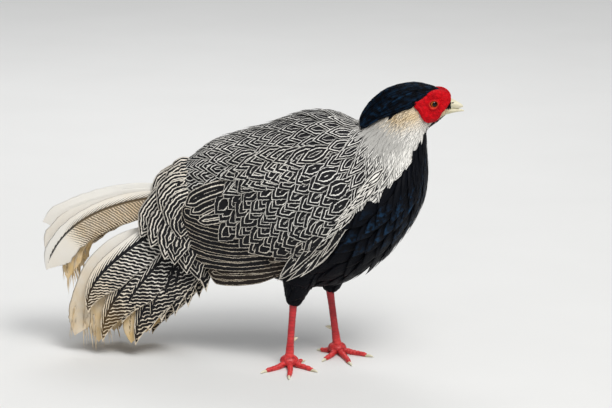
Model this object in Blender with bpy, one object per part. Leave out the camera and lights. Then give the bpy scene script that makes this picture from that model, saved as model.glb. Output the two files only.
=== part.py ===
"""A silver pheasant cock, life size, standing still with his head turned a little to his left.

Lengths are in metres. He faces +X, +Z is up and the floor he stands on is Z = 0. His right side is at -Y.
Everything is drawn in a bird frame whose X = 0 lies under the shoulders, then the head is turned, and an
empty carries all of it so that the origin ends under the middle of the bird, on the floor.
"""

import math
import random

import bmesh
import bpy
import numpy as np
from mathutils import Vector

# Clearances and thin stock
GAP = 0.0003
VANE_THICK = 0.0009
TIP_THICK = 0.0005
SOLVER = "MANIFOLD"
FLAT_ANGLE = math.radians(0.3)

# Body, neck and head: one loft. Each station is the section through a point on the upper outline and one on
# the lower outline: (name, upper x, upper z, lower x, lower z, half width).
STATIONS = (
    ("tail_tip", -0.205, 0.214, -0.200, 0.188, 0.010),
    ("tail_base", -0.181, 0.227, -0.168, 0.174, 0.024),
    ("rump_end", -0.153, 0.2555, -0.140, 0.158, 0.037),
    ("rump", -0.121, 0.2805, -0.110, 0.141, 0.051),
    ("loin", -0.086, 0.294, -0.080, 0.121, 0.062),
    ("back", -0.048, 0.306, -0.045, 0.104, 0.068),
    ("mantle", -0.010, 0.321, -0.003, 0.094, 0.071),
    ("shoulder", 0.022, 0.323, 0.045, 0.102, 0.070),
    ("breast", 0.043, 0.317, 0.086, 0.130, 0.065),
    ("crop", 0.058, 0.312, 0.121, 0.170, 0.057),
    ("low_neck", 0.068, 0.311, 0.143, 0.208, 0.048),
    ("neck_root", 0.077, 0.317, 0.149, 0.242, 0.038),
    ("mid_neck", 0.087, 0.327, 0.148, 0.269, 0.030),
    ("throat", 0.098, 0.339, 0.147, 0.290, 0.0245),
    ("nape", 0.112, 0.350, 0.148, 0.301, 0.0215),
    ("cheek", 0.128, 0.356, 0.153, 0.306, 0.0190),
    ("temple", 0.145, 0.357, 0.161, 0.312, 0.0165),
    ("lore", 0.160, 0.354, 0.169, 0.320, 0.0135),
    ("brow", 0.171, 0.348, 0.175, 0.326, 0.0100),
    ("bill_root", 0.177, 0.342, 0.179, 0.331, 0.0055),
)
NAMES = [station[0] for station in STATIONS]
KEYS = np.array([station[1:] for station in STATIONS])
TAIL_SPLIT = NAMES.index("rump_end")
NECK_SPLIT = NAMES.index("neck_root")
HEAD_SPLIT = NAMES.index("throat")
LAST_STATION = len(STATIONS) - 1
RING_POINTS = 24

# The head turns to his left about an upright line through the neck.
HEAD_TURN = math.radians(10.0)
TURN_AXIS_X = 0.110
TURN_START = (0.078, 0.300)
TURN_LENGTH = 0.045
TURN_RISE = math.radians(50.0)

# Eyes and the bare face round them
EYE = (0.155, 0.0136, 0.3365)
EYE_RADIUS = 0.0052
FACE_LOBES = (
    (-180.0, 0.0270),
    (-165.0, 0.0215),
    (-147.0, 0.0198),
    (-123.0, 0.0235),
    (-107.0, 0.0255),
    (-86.0, 0.0235),
    (-66.0, 0.0186),
    (-48.0, 0.0146),
    (-6.0, 0.0172),
    (13.0, 0.0222),
    (32.0, 0.0225),
    (55.0, 0.0212),
    (78.0, 0.0208),
    (101.0, 0.0192),
    (135.0, 0.0195),
    (163.0, 0.0250),
)
FACE_RISE = 0.0022
FACE_SHIELD_Y = 0.0172
FACE_SHIELD_BEND = 11.0
FACE_DEPTH = 0.009
FACE_SPOKES = 24

# Bill: (x, centre z, half height, half width) along each half
UPPER_BILL = (
    (0.164, 0.3370, 0.0072, 0.0085),
    (0.174, 0.3378, 0.0063, 0.0070),
    (0.183, 0.3368, 0.0050, 0.0054),
    (0.189, 0.3347, 0.0036, 0.0038),
    (0.193, 0.3322, 0.0023, 0.0024),
    (0.1955, 0.3298, 0.0010, 0.0012),
)
LOWER_BILL = (
    (0.160, 0.3205, 0.0038, 0.0080),
    (0.169, 0.3240, 0.0032, 0.0066),
    (0.178, 0.3268, 0.0026, 0.0050),
    (0.186, 0.3283, 0.0019, 0.0034),
    (0.191, 0.3286, 0.0013, 0.0022),
    (0.1940, 0.3284, 0.0007, 0.0010),
)
NOSTRIL = (0.1815, 0.0058, 0.3392)

# Crest: plumes rooted on the crown, whose tips gather behind the nape
CREST_START, CREST_END = 12.6, 17.6
CREST_HALF_SPREAD = math.radians(62.0)
CREST_CORE = 0.0040
CREST_TIP = (0.0640, 0.0050, 0.2930)
CREST_SIDE_TIPS = ((0.112, 0.0225, 0.333), (0.071, 0.0170, 0.302))

# Wing: a shield-shaped surface that the folded wing lies on
WING_X, WING_Z, WING_Y = 0.010, 0.200, 0.0760
WING_BEND_X, WING_BEND_Z = 1.16, 1.80
WING_CORE = (-0.008, 0.206, 0.088, 0.052, math.radians(30.0))
WING_CORE_DEPTH = 0.020
# Each tier: (name, count, width, line of the roots, line of the tips, extra height), lines as (x, z) points
WING_TIERS = (
    ("primary", 2, 0.022, ((0.022, 0.150), (0.024, 0.143)), ((-0.080, 0.107), (-0.056, 0.113)), -0.0012),
    (
        "secondary",
        7,
        0.030,
        ((-0.040, 0.238), (0.012, 0.140)),
        (
            (-0.149, 0.203),
            (-0.154, 0.187),
            (-0.150, 0.170),
            (-0.142, 0.153),
            (-0.132, 0.137),
            (-0.119, 0.122),
            (-0.098, 0.112),
        ),
        0.0,
    ),
    ("greater", 5, 0.031, ((-0.020, 0.247), (0.036, 0.168)), ((-0.098, 0.224), (-0.088, 0.168), (-0.038, 0.122)), 0.0),
    ("median", 5, 0.026, ((0.006, 0.253), (0.052, 0.196)), ((-0.048, 0.243), (-0.036, 0.188), (0.002, 0.140)), 0.0),
    ("lesser", 4, 0.027, ((0.034, 0.257), (0.068, 0.228)), ((-0.012, 0.252), (0.000, 0.210), (0.036, 0.176)), 0.0),
    ("scapular", 3, 0.029, ((0.004, 0.264), (-0.040, 0.250)), ((-0.064, 0.260), (-0.116, 0.232)), 0.0010),
)
TIER_ROLL = math.radians(4.5)
ROOT_SINK = 0.0024
TIP_LIFT = 0.0032

# Tail feathers of one side, from the middle pair down: each is a spine of four control points (x, y, z) and
# a width. Behind the rump they leave level, arch and droop like a curtain.
TAIL_FEATHERS = (
    ((-0.170, 0.004, 0.209), (-0.235, 0.008, 0.209), (-0.318, 0.014, 0.196), (-0.343, 0.016, 0.140), 0.034),
    ((-0.170, 0.005, 0.207), (-0.235, 0.012, 0.200), (-0.318, 0.020, 0.172), (-0.345, 0.020, 0.108), 0.034),
    ((-0.170, 0.006, 0.203), (-0.240, 0.014, 0.200), (-0.325, 0.024, 0.175), (-0.318, 0.026, 0.070), 0.032),
    ((-0.172, 0.008, 0.186), (-0.235, 0.026, 0.165), (-0.283, 0.036, 0.120), (-0.291, 0.032, 0.028), 0.040),
    ((-0.170, 0.009, 0.184), (-0.215, 0.030, 0.155), (-0.255, 0.042, 0.100), (-0.266, 0.036, 0.020), 0.038),
    ((-0.168, 0.010, 0.180), (-0.192, 0.036, 0.150), (-0.212, 0.048, 0.085), (-0.220, 0.042, 0.020), 0.038),
    ((-0.165, 0.010, 0.176), (-0.170, 0.040, 0.140), (-0.170, 0.052, 0.095), (-0.190, 0.047, 0.050), 0.036),
)
TAIL_SECTIONS = 7
# Tail coverts of one side, from the back round to the vent: (root x, y, z, tip x, y, z, width, lean in degrees)
TAIL_COVERTS = (
    (-0.150, 0.006, 0.243, -0.220, 0.010, 0.209, 0.032, 70),
    (-0.150, 0.018, 0.234, -0.226, 0.026, 0.195, 0.034, 45),
    (-0.150, 0.026, 0.226, -0.228, 0.038, 0.176, 0.034, 20),
    (-0.149, 0.028, 0.210, -0.222, 0.046, 0.152, 0.034, 5),
    (-0.147, 0.028, 0.194, -0.205, 0.054, 0.128, 0.034, 0),
    (-0.145, 0.026, 0.180, -0.184, 0.058, 0.106, 0.034, -5),
    (-0.143, 0.020, 0.170, -0.158, 0.054, 0.080, 0.032, -15),
    (-0.141, 0.010, 0.163, -0.140, 0.035, 0.090, 0.028, -35),
)
TAIL_CORE_RING = 10

# Legs. Each: hip height, heel, foot joint, toe directions in degrees from +X (inner, middle, outer, hind)
HIP_Z = 0.140
HIP_RADIUS = 0.0270
LEGS = {
    "right": {"side": -1, "heel": (-0.014, 0.034, 0.081), "foot": (-0.019, 0.036, 0.010), "toes": (-30, -78, -122, 55)},
    "left": {"side": 1, "heel": (0.019, 0.032, 0.084), "foot": (0.028, 0.035, 0.010), "toes": (-102, -62, -14, 172)},
}
THIGH_RADII = ((1.00, HIP_RADIUS), (0.55, 0.0215), (0.33, 0.0165), (0.14, 0.0115), (0.0, 0.0066))
SHANK_RADII = ((0.0, 0.0054), (0.08, 0.0050), (0.3, 0.0044), (0.7, 0.0044), (0.92, 0.0054), (1.0, 0.0066))
SCUTE_STEP = 0.0078
SCUTE_RISE = 0.00035
PAD_RADIUS, PAD_HEIGHT = 0.0120, 0.0078
PAD_CENTRE_Z = 0.0072
TOE_NAMES = ("inner", "middle", "outer", "hind")
TOE_LENGTHS = (0.039, 0.054, 0.042, 0.021)
TOE_ROOT_RADIUS, TOE_TIP_RADIUS = 0.0035, 0.0024
TOE_ROOT_Z = 0.0052
TOE_KNUCKLES = (2, 3, 4, 1)
SOLE_SINK = 0.0006
CLAW_LENGTHS = (0.010, 0.012, 0.010, 0.008)
SPUR_LENGTH, SPUR_RADIUS = 0.0085, 0.0026
SPUR_HEIGHT = 0.034

# Colours as linear RGB, with roughness
PAINTS = {
    "white_plumage": ((0.78, 0.76, 0.72), 0.8),
    "black_plumage": ((0.010, 0.012, 0.018), 0.5),
    "face_skin": ((0.62, 0.010, 0.012), 0.6),
    "leg_skin": ((0.55, 0.045, 0.035), 0.45),
    "horn": ((0.62, 0.58, 0.36), 0.4),
    "eye": ((0.32, 0.09, 0.02), 0.1),
}

BIRD = bpy.data.collections.new("silver_pheasant")
CUTTERS = bpy.data.collections.new("cutters")


# Small helpers


def clear_scene():
    for obj in list(bpy.data.objects):
        bpy.data.objects.remove(obj)
    bpy.context.scene.collection.children.link(BIRD)
    bpy.context.scene.collection.children.link(CUTTERS)


def paint(name):
    """The material of that name, made on first use."""
    if name in bpy.data.materials:
        return bpy.data.materials[name]
    colour, roughness = PAINTS[name]
    material = bpy.data.materials.new(name)
    material.use_nodes = True
    shader = material.node_tree.nodes["Principled BSDF"]
    shader.inputs["Base Color"].default_value = (*colour, 1.0)
    shader.inputs["Roughness"].default_value = roughness
    shader.inputs["Metallic"].default_value = 0.0
    return material


def unit(vectors):
    vectors = np.asarray(vectors, float)
    return vectors / np.linalg.norm(vectors, axis=-1, keepdims=True)


def face_outwards(mesh):
    """Triangulates and turns every face of a closed mesh outwards."""
    work = bmesh.new()
    work.from_mesh(mesh)
    bmesh.ops.triangulate(work, faces=work.faces)
    bmesh.ops.recalc_face_normals(work, faces=work.faces)
    if work.calc_volume(signed=True) < 0:
        bmesh.ops.reverse_faces(work, faces=work.faces)
    work.to_mesh(mesh)
    work.free()


def mesh_object(name, points, faces, paint_name, collection=BIRD):
    mesh = bpy.data.meshes.new(name)
    mesh.from_pydata([tuple(map(float, p)) for p in points], [], faces)
    face_outwards(mesh)
    obj = bpy.data.objects.new(name, mesh)
    obj.data.materials.append(paint(paint_name))
    collection.objects.link(obj)
    return obj


def apply_modifiers(obj):
    """Swaps the object's mesh for the one its modifiers give."""
    bpy.context.view_layer.update()
    graph = bpy.context.evaluated_depsgraph_get()
    made = bpy.data.meshes.new_from_object(obj.evaluated_get(graph))
    obj.modifiers.clear()
    obj.data = made


def keep_largest(obj):
    """Leaves only the closed surface that holds the most."""
    work = bmesh.new()
    work.from_mesh(obj.data)
    work.faces.ensure_lookup_table()
    waiting = set(work.faces)
    islands = []
    while waiting:
        island, edge_of_island = set(), [waiting.pop()]
        while edge_of_island:
            face = edge_of_island.pop()
            island.add(face)
            for edge in face.edges:
                for other in edge.link_faces:
                    if other in waiting:
                        waiting.discard(other)
                        edge_of_island.append(other)
        islands.append(island)

    def held(island):
        total = 0.0
        for face in island:
            corners = [v.co for v in face.verts]
            for i in range(1, len(corners) - 1):
                total += corners[0].dot(corners[i].cross(corners[i + 1])) / 6
        return total

    best = max(islands, key=held)
    loose = [face for island in islands if island is not best for face in island]
    bmesh.ops.delete(work, geom=loose, context="FACES")
    stray = [v for v in work.verts if not v.link_faces]
    bmesh.ops.delete(work, geom=stray, context="VERTS")
    work.to_mesh(obj.data)
    work.free()


def merge_flats(obj):
    """Joins the flat faces that the Booleans split, so that no more triangles are kept than the form needs."""
    work = bmesh.new()
    work.from_mesh(obj.data)
    bmesh.ops.dissolve_limit(work, angle_limit=FLAT_ANGLE, verts=work.verts, edges=work.edges)
    bmesh.ops.triangulate(work, faces=work.faces)
    if all(len(edge.link_faces) == 2 for edge in work.edges):
        work.to_mesh(obj.data)
    work.free()


def fuse(core, pieces, solver=SOLVER):
    """Joins the pieces to the core with one Boolean union, then removes them."""
    group = bpy.data.collections.new(core.name + "_pieces")
    bpy.context.scene.collection.children.link(group)
    for piece in pieces:
        for owner in list(piece.users_collection):
            owner.objects.unlink(piece)
        group.objects.link(piece)
    union = core.modifiers.new("union", "BOOLEAN")
    union.operation = "UNION"
    union.operand_type = "COLLECTION"
    union.collection = group
    union.solver = solver
    apply_modifiers(core)
    for piece in list(group.objects):
        bpy.data.objects.remove(piece)
    bpy.data.collections.remove(group)
    keep_largest(core)
    return core


def as_cutter(obj, clearance=GAP):
    """A copy of a solid, grown by the clearance, that other pieces are cut back from."""
    cutter = obj.copy()
    cutter.data = obj.data.copy()
    cutter.name = obj.name + "_clearance"
    CUTTERS.objects.link(cutter)
    cutter.hide_render = True
    cutter.display_type = "WIRE"
    work = bmesh.new()
    work.from_mesh(cutter.data)
    work.normal_update()
    shifts = [v.normal * clearance * min(v.calc_shell_factor(), 1.6) for v in work.verts]
    for vert, shift in zip(work.verts, shifts):
        vert.co += shift
    work.to_mesh(cutter.data)
    work.free()
    return cutter


def cut(obj, cutter, solver=SOLVER):
    modifier = obj.modifiers.new("cut", "BOOLEAN")
    modifier.operation = "DIFFERENCE"
    modifier.object = cutter
    modifier.solver = solver
    apply_modifiers(obj)
    keep_largest(obj)


def loft(name, rings, paint_name, collection=BIRD):
    """A closed solid through rings of equal point counts, each end closed by a fan round its middle."""
    count = len(rings[0])
    points = [p for ring in rings for p in ring]
    faces = []
    for i in range(len(rings) - 1):
        for j in range(count):
            k = (j + 1) % count
            faces.append((i * count + j, i * count + k, (i + 1) * count + k, (i + 1) * count + j))
    for start, ring in ((0, rings[0]), ((len(rings) - 1) * count, rings[-1])):
        middle = len(points)
        points.append(np.mean(ring, axis=0))
        faces += [(middle, start + j, start + (j + 1) % count) for j in range(count)]
    return mesh_object(name, points, faces, paint_name, collection)


def tube(name, path, radii, paint_name, sides=2):
    """A tapered round limb: a curve with a bevel whose radius changes along it, turned into a mesh."""
    data = bpy.data.curves.new(name, "CURVE")
    data.dimensions = "3D"
    data.bevel_depth = 1.0
    data.bevel_resolution = sides
    data.use_fill_caps = True
    spline = data.splines.new("POLY")
    spline.points.add(len(path) - 1)
    for point, place, radius in zip(spline.points, path, radii):
        point.co = (*map(float, place), 1.0)
        point.radius = float(radius)
    curve = bpy.data.objects.new(name + "_curve", data)
    BIRD.objects.link(curve)
    bpy.context.view_layer.update()
    graph = bpy.context.evaluated_depsgraph_get()
    mesh = bpy.data.meshes.new_from_object(curve.evaluated_get(graph))
    bpy.data.objects.remove(curve)
    work = bmesh.new()
    work.from_mesh(mesh)
    bmesh.ops.remove_doubles(work, verts=work.verts, dist=1e-5)
    work.to_mesh(mesh)
    work.free()
    face_outwards(mesh)
    obj = bpy.data.objects.new(name, mesh)
    obj.data.materials.clear()
    obj.data.materials.append(paint(paint_name))
    BIRD.objects.link(obj)
    return obj


# The body loft


def station_at(s):
    """The interpolated station at a fractional index, by a Catmull-Rom curve through the keys."""
    s = min(max(s, 0.0), LAST_STATION - 1e-9)
    i = int(s)
    t = s - i
    before = KEYS[max(i - 1, 0)]
    after = KEYS[min(i + 2, LAST_STATION)]
    a, b = KEYS[i], KEYS[i + 1]
    slope_a, slope_b = (b - before) / 2, (after - a) / 2
    t2, t3 = t * t, t * t * t
    return (
        (2 * t3 - 3 * t2 + 1) * a
        + (t3 - 2 * t2 + t) * slope_a
        + (-2 * t3 + 3 * t2) * b
        + (t3 - t2) * slope_b
    )


def body_point(s, angle, height=0.0):
    """A point on the body's surface. Angle 0 is the upper outline and grows towards his right side."""
    top_x, top_z, low_x, low_z, width = station_at(s)
    top, low = np.array([top_x, 0, top_z]), np.array([low_x, 0, low_z])
    middle, up = (top + low) / 2, (top - low) / 2
    tall = np.linalg.norm(up)
    rim = middle + up * math.cos(angle) + np.array([0, -width * math.sin(angle), 0])
    outward = up / tall * math.cos(angle) / tall + np.array([0, -math.sin(angle) / width, 0])
    return rim + unit(outward) * height


def body_rings(first, last, per_span):
    count = round((last - first) * per_span) + 1
    angles = [2 * math.pi * j / RING_POINTS for j in range(RING_POINTS)]
    return [
        np.array([body_point(s, angle) for angle in angles])
        for s in np.linspace(first, last, count)
    ]


def step_back(rings, end, distance):
    """Moves one end ring along the body, so that a thin cut parts it from its neighbour."""
    here, inner = (0, 1) if end == "first" else (-1, -2)
    along = unit(np.mean(rings[inner], axis=0) - np.mean(rings[here], axis=0))
    rings[here] = rings[here] + along * distance
    return rings


def make_body():
    torso = loft("torso", step_back(body_rings(TAIL_SPLIT, NECK_SPLIT, 2), "first", GAP), "black_plumage")
    neck = loft("neck", step_back(body_rings(NECK_SPLIT, HEAD_SPLIT, 2), "first", GAP), "white_plumage")
    rings = step_back(body_rings(HEAD_SPLIT, LAST_STATION, 1), "first", GAP)
    head = loft("head", rings, "white_plumage")
    return torso, neck, head


# Feather vanes


def vane(name, spine, across, upright, halves, paint_name, camber=None):
    """One feather, both faces split alike, thinner at its tip. With a camber it has a ridge along its middle."""
    points, count = [], len(spine)
    for i in range(count):
        rise = upright[i] * (VANE_THICK + (TIP_THICK - VANE_THICK) * i / (count - 1)) / 2
        line = [spine[i] - across[i] * halves[i], spine[i] + across[i] * halves[i]]
        if camber is not None:
            line.insert(1, spine[i] + upright[i] * camber * halves[i])
        points += [p + rise for p in line] + [p - rise for p in reversed(line)]
    wide = len(line)
    loop = 2 * wide
    faces = []
    for i in range(count - 1):
        a, b = loop * i, loop * (i + 1)
        for j in range(wide - 1):
            k = loop - 1 - j
            faces += [(a + j, a + j + 1, b + j + 1), (a + j, b + j + 1, b + j)]
            faces += [(a + k, b + k - 1, a + k - 1), (a + k, b + k, b + k - 1)]
        for j in (wide - 1, loop - 1):
            k = (j + 1) % loop
            faces += [(a + j, a + k, b + k), (a + j, b + k, b + j)]
    for a in (0, loop * (count - 1)):
        for j in range(wide - 1):
            k = loop - 1 - j
            faces += [(a + j, a + j + 1, a + k - 1), (a + j, a + k - 1, a + k)]
    return mesh_object(name, points, faces, paint_name)


def leaf_width(share, blunt=0.62):
    """A feather's half width along it, as a share of its widest: narrow at the quill, round at the tip."""
    swell = min(1.0, 0.45 + share / 0.35 * 0.55)
    close = max(0.0, (share - blunt) / (1 - blunt))
    return swell * math.sqrt(max(0.0, 1 - close**2 * 0.96))


def bezier(controls, share):
    p = [np.array(c, float) for c in controls]
    q = 1 - share
    return q**3 * p[0] + 3 * q * q * share * p[1] + 3 * q * share**2 * p[2] + share**3 * p[3]


# Wings


def on_wing(x, z, side, height=0.0):
    """A point over the wing's surface, and the way out of it. Side is -1 for his right and 1 for his left."""
    dx, dz = x - WING_X, z - WING_Z
    y = WING_Y - WING_BEND_X * dx * dx - WING_BEND_Z * dz * dz
    out = unit([2 * WING_BEND_X * dx, side, 2 * WING_BEND_Z * dz])
    return np.array([x, side * y, z]) + out * height, out


def wing_core(name, side):
    """The arm and the feather roots: a domed plate whose inner part the torso then cuts away."""
    x0, z0, long, wide, tilt = WING_CORE
    spokes, points, faces = 20, [], []
    shares = (0.0, 0.45, 0.8, 0.95, 1.0)
    drops = (0.0, 0.0, 0.0004, 0.0018, 0.0050)
    for depth in (0.0, WING_CORE_DEPTH):
        for share, drop in zip(shares[1:], drops[1:]):
            for j in range(spokes):
                turn = 2 * math.pi * j / spokes
                u, v = long * share * math.cos(turn), wide * share * math.sin(turn)
                x = x0 + u * math.cos(tilt) - v * math.sin(tilt)
                z = z0 + u * math.sin(tilt) + v * math.cos(tilt)
                sunk = -drop if depth == 0.0 else -depth
                points.append(on_wing(x, z, side, sunk)[0])
    rows = len(shares) - 1
    for layer in range(2):
        for i in range(rows - 1):
            for j in range(spokes):
                a, k = (layer * rows + i) * spokes, (j + 1) % spokes
                faces.append((a + j, a + k, a + spokes + k, a + spokes + j))
        middle = len(points)
        points.append(on_wing(x0, z0, side, -layer * WING_CORE_DEPTH)[0])
        faces += [(middle, layer * rows * spokes + j, layer * rows * spokes + (j + 1) % spokes) for j in range(spokes)]
    for j in range(spokes):
        k = (j + 1) % spokes
        outer, inner = (rows - 1) * spokes, (2 * rows - 1) * spokes
        faces.append((outer + j, outer + k, inner + k, inner + j))
    return mesh_object(name, points, faces, "white_plumage")


def wing_vane(name, root, tip, half, side, base, sections):
    """A vane that lies on the wing from root to tip. Its root is sunk in the core and its tip lies highest."""
    spine, across, upright, halves = [], [], [], []
    root, tip = np.array(root), np.array(tip)
    along = unit(tip - root)
    down = np.array([along[1], -along[0]])
    down = down if down[1] < 0 else -down
    for i in range(sections):
        share = i / (sections - 1)
        x, z = root + (tip - root) * share
        height = -ROOT_SINK + (ROOT_SINK + TIP_LIFT + base) * share
        place, out = on_wing(x, z, side, height)
        ahead = unit(on_wing(x + along[0] * 0.001, z + along[1] * 0.001, side, height)[0] - place)
        lower = on_wing(x + down[0] * 0.001, z + down[1] * 0.001, side, height)[0] - place
        lower = unit(lower - ahead * np.dot(lower, ahead))
        lower = unit(lower * math.cos(TIER_ROLL) + out * math.sin(TIER_ROLL))
        spine.append(place)
        across.append(lower)
        upright.append(unit(np.cross(ahead, lower) * np.sign(np.dot(np.cross(ahead, lower), out))))
        halves.append(half * leaf_width(share))
    return vane(name, spine, across, upright, halves, "white_plumage")


def along_line(points, share):
    """The place at that share of a line's points."""
    shares = np.linspace(0, 1, len(points))
    return np.array([np.interp(share, shares, [p[i] for p in points]) for i in (0, 1)])


def make_wing(name, side, torso_clearance, seed):
    draw = random.Random(seed)
    core = wing_core(name, side)
    pieces = []
    for tier, count, width, roots, tips, base in WING_TIERS:
        for i in range(count):
            root, tip = along_line(roots, i / (count - 1)), along_line(tips, i / (count - 1))
            tip += (draw.uniform(-0.0015, 0.0015), draw.uniform(-0.0015, 0.0015))
            sections = 5 if tier == "secondary" else 3 if tier in ("lesser", "median", "scapular") else 4
            pieces.append(wing_vane(f"{tier}_{i}", root, tip, width / 2, side, base, sections))
    fuse(core, pieces)
    cut(core, torso_clearance)
    return core


# Tail


def tail_core(name, side):
    """One half of the tail's fleshy root with its small feathers, flat where the two halves meet."""
    rings = []
    for s in np.linspace(0.0, TAIL_SPLIT, 5):
        turns = np.linspace(0.0, math.pi, TAIL_CORE_RING)
        ring = np.array([body_point(s, -side * turn) for turn in turns])
        ring[:, 1] += side * GAP / 2
        ring[0, 1] = ring[-1, 1] = side * GAP / 2
        rings.append(ring)
    rings[-1] = rings[-1] + unit(np.mean(rings[-2], axis=0) - np.mean(rings[-1], axis=0)) * GAP * np.array([1, 0, 1])
    return loft(name, rings, "white_plumage")


def hanging_vane(name, controls, half, side, sections, lean, ridge=None, lift=0.0):
    """A tail feather along a spine. Its blade faces its own side of the bird, as in a roof-shaped tail."""
    spine, across, upright, halves = [], [], [], []
    step = 0.002
    for i in range(sections):
        share = i / (sections - 1)
        place = bezier(controls, share) * np.array([1, side, 1])
        ahead = bezier(controls, min(share + step, 1.0)) - bezier(controls, max(share - step, 0.0))
        ahead = unit(ahead * np.array([1, side, 1]))
        out = np.array([0.0, side * math.cos(lean), math.sin(lean)])
        out = unit(out - ahead * np.dot(out, ahead))
        spine.append(place + out * lift * min(1.0, share * 4))
        across.append(np.cross(ahead, out))
        upright.append(out)
        halves.append(half * leaf_width(share, 0.70))
    return vane(name, spine, across, upright, halves, "white_plumage", ridge)


def make_tail(name, side, seed, torso_clearance):
    draw = random.Random(seed)
    core = tail_core(name, side)
    pieces = []
    for i, (*controls, width) in enumerate(TAIL_FEATHERS):
        stray = np.array([draw.uniform(-0.004, 0.004), 0.0, draw.uniform(0.0, 0.004)])
        bent = [np.array(c, float) for c in controls]
        bent[3] = bent[3] + stray
        pieces.append(hanging_vane(f"rectrix_{i}", bent, width / 2, side, TAIL_SECTIONS, 0.15, ridge=0.1))
    for i, (rx, ry, rz, tx, ty, tz, width, lean) in enumerate(TAIL_COVERTS):
        root, tip = np.array([rx, ry, rz]), np.array([tx, ty, tz])
        lean = math.radians(lean)
        bow = np.array([0.0, math.cos(lean), math.sin(lean)]) * 0.008
        controls = (root, root + (tip - root) * 0.35 + bow, root + (tip - root) * 0.75 + bow * 0.7, tip)
        pieces.append(hanging_vane(f"covert_{i}", controls, width / 2, side, 4, lean, lift=0.001))
    fuse(core, pieces)
    far, near = sorted((-side * 0.2, side * GAP / 2))
    cut(core, block_cutter("other_half_clearance", (-0.4, far, -0.1), (0.0, near, 0.4)))
    cut(core, torso_clearance)
    return core


# Head: eyes, bill, face and crest


def make_eye(name, side):
    bpy.ops.mesh.primitive_uv_sphere_add(segments=12, ring_count=8, radius=EYE_RADIUS)
    eye = bpy.context.object
    eye.name = eye.data.name = name
    for owner in list(eye.users_collection):
        owner.objects.unlink(eye)
    BIRD.objects.link(eye)
    eye.data.transform(eye.matrix_world)
    for vert in eye.data.vertices:
        vert.co += Vector((EYE[0], side * EYE[1], EYE[2]))
    face_outwards(eye.data)
    eye.data.materials.append(paint("eye"))
    return eye


def bill_half(name, stations, spokes=12):
    rings = []
    for x, z, tall, wide in stations:
        turns = [2 * math.pi * j / spokes for j in range(spokes)]
        rings.append(np.array([(x, wide * math.sin(t), z + tall * math.cos(t)) for t in turns]))
    return loft(name, rings, "horn")


def nostril_cutter(side):
    bpy.ops.mesh.primitive_uv_sphere_add(segments=8, ring_count=5, radius=1.0)
    pit = bpy.context.object
    pit.name = "nostril_clearance"
    for owner in list(pit.users_collection):
        owner.objects.unlink(pit)
    CUTTERS.objects.link(pit)
    for vert in pit.data.vertices:
        vert.co = Vector(
            (
                NOSTRIL[0] + vert.co.x * 0.0017,
                side * NOSTRIL[1] + vert.co.y * 0.0016,
                NOSTRIL[2] + vert.co.z * 0.0009,
            )
        )
    pit.hide_render = True
    pit.display_type = "WIRE"
    return pit


def face_radius(turn):
    """How far the bare red face reaches from the eye, in that direction as seen from his side."""
    angles = np.array([math.radians(a) for a, _ in FACE_LOBES])
    reaches = np.array([r for _, r in FACE_LOBES])
    return float(np.interp(turn, angles, reaches, period=2 * math.pi))


def head_side(x, z):
    """Half the head's width at that place in side view, or nothing outside its outline."""
    place = np.array([x, z])
    before = None
    for s in np.linspace(HEAD_SPLIT - 1.0, LAST_STATION, 90):
        top_x, top_z, low_x, low_z, width = station_at(s)
        along = np.array([top_x - low_x, top_z - low_z])
        off = along[0] * (z - low_z) - along[1] * (x - low_x)
        if before is not None and off * before <= 0:
            share = 2 * np.dot(place - (low_x, low_z), along) / np.dot(along, along) - 1
            return width * math.sqrt(max(0.0, 1 - share**2))
        before = off
    return 0.0


def make_face(name, side, seed):
    """The bare, lobed face with its lids: a shield-shaped plate with a hole for the eye."""
    draw = random.Random(seed)
    shares = (0.0, 0.10, 0.24, 0.50, 0.78, 0.93, 1.0)
    rises = (-0.0002, 0.0010, -0.0004, 0.0006, 0.0012, 0.0002, -0.0010)
    points, faces, rows = [], [], len(shares)
    for j in range(FACE_SPOKES):
        turn = -math.pi + 2 * math.pi * j / FACE_SPOKES
        inner = EYE_RADIUS * (0.84 + 0.06 * math.cos(2 * turn))
        for i, (share, rise) in enumerate(zip(shares + (1.0, 0.0), rises + (0.0, 0.0))):
            reach = inner + (face_radius(turn) - inner) * share
            dx, dz = reach * math.cos(turn), reach * math.sin(turn)
            y = max(FACE_SHIELD_Y - FACE_SHIELD_BEND * reach**2, head_side(EYE[0] + dx, EYE[2] + dz) + FACE_RISE)
            bulb = draw.uniform(-0.0004, 0.0004) if 0.2 < share < 0.95 else 0.0
            y += rise + bulb if i < rows else -FACE_DEPTH
            points.append((EYE[0] + dx, side * y, EYE[2] + dz))
    loop = rows + 2
    for j in range(FACE_SPOKES):
        a, b = j * loop, (j + 1) % FACE_SPOKES * loop
        for i in range(loop):
            k = (i + 1) % loop
            faces.append((a + i, a + k, b + k, b + i))
    return mesh_object(name, points, faces, "face_skin")


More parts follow.
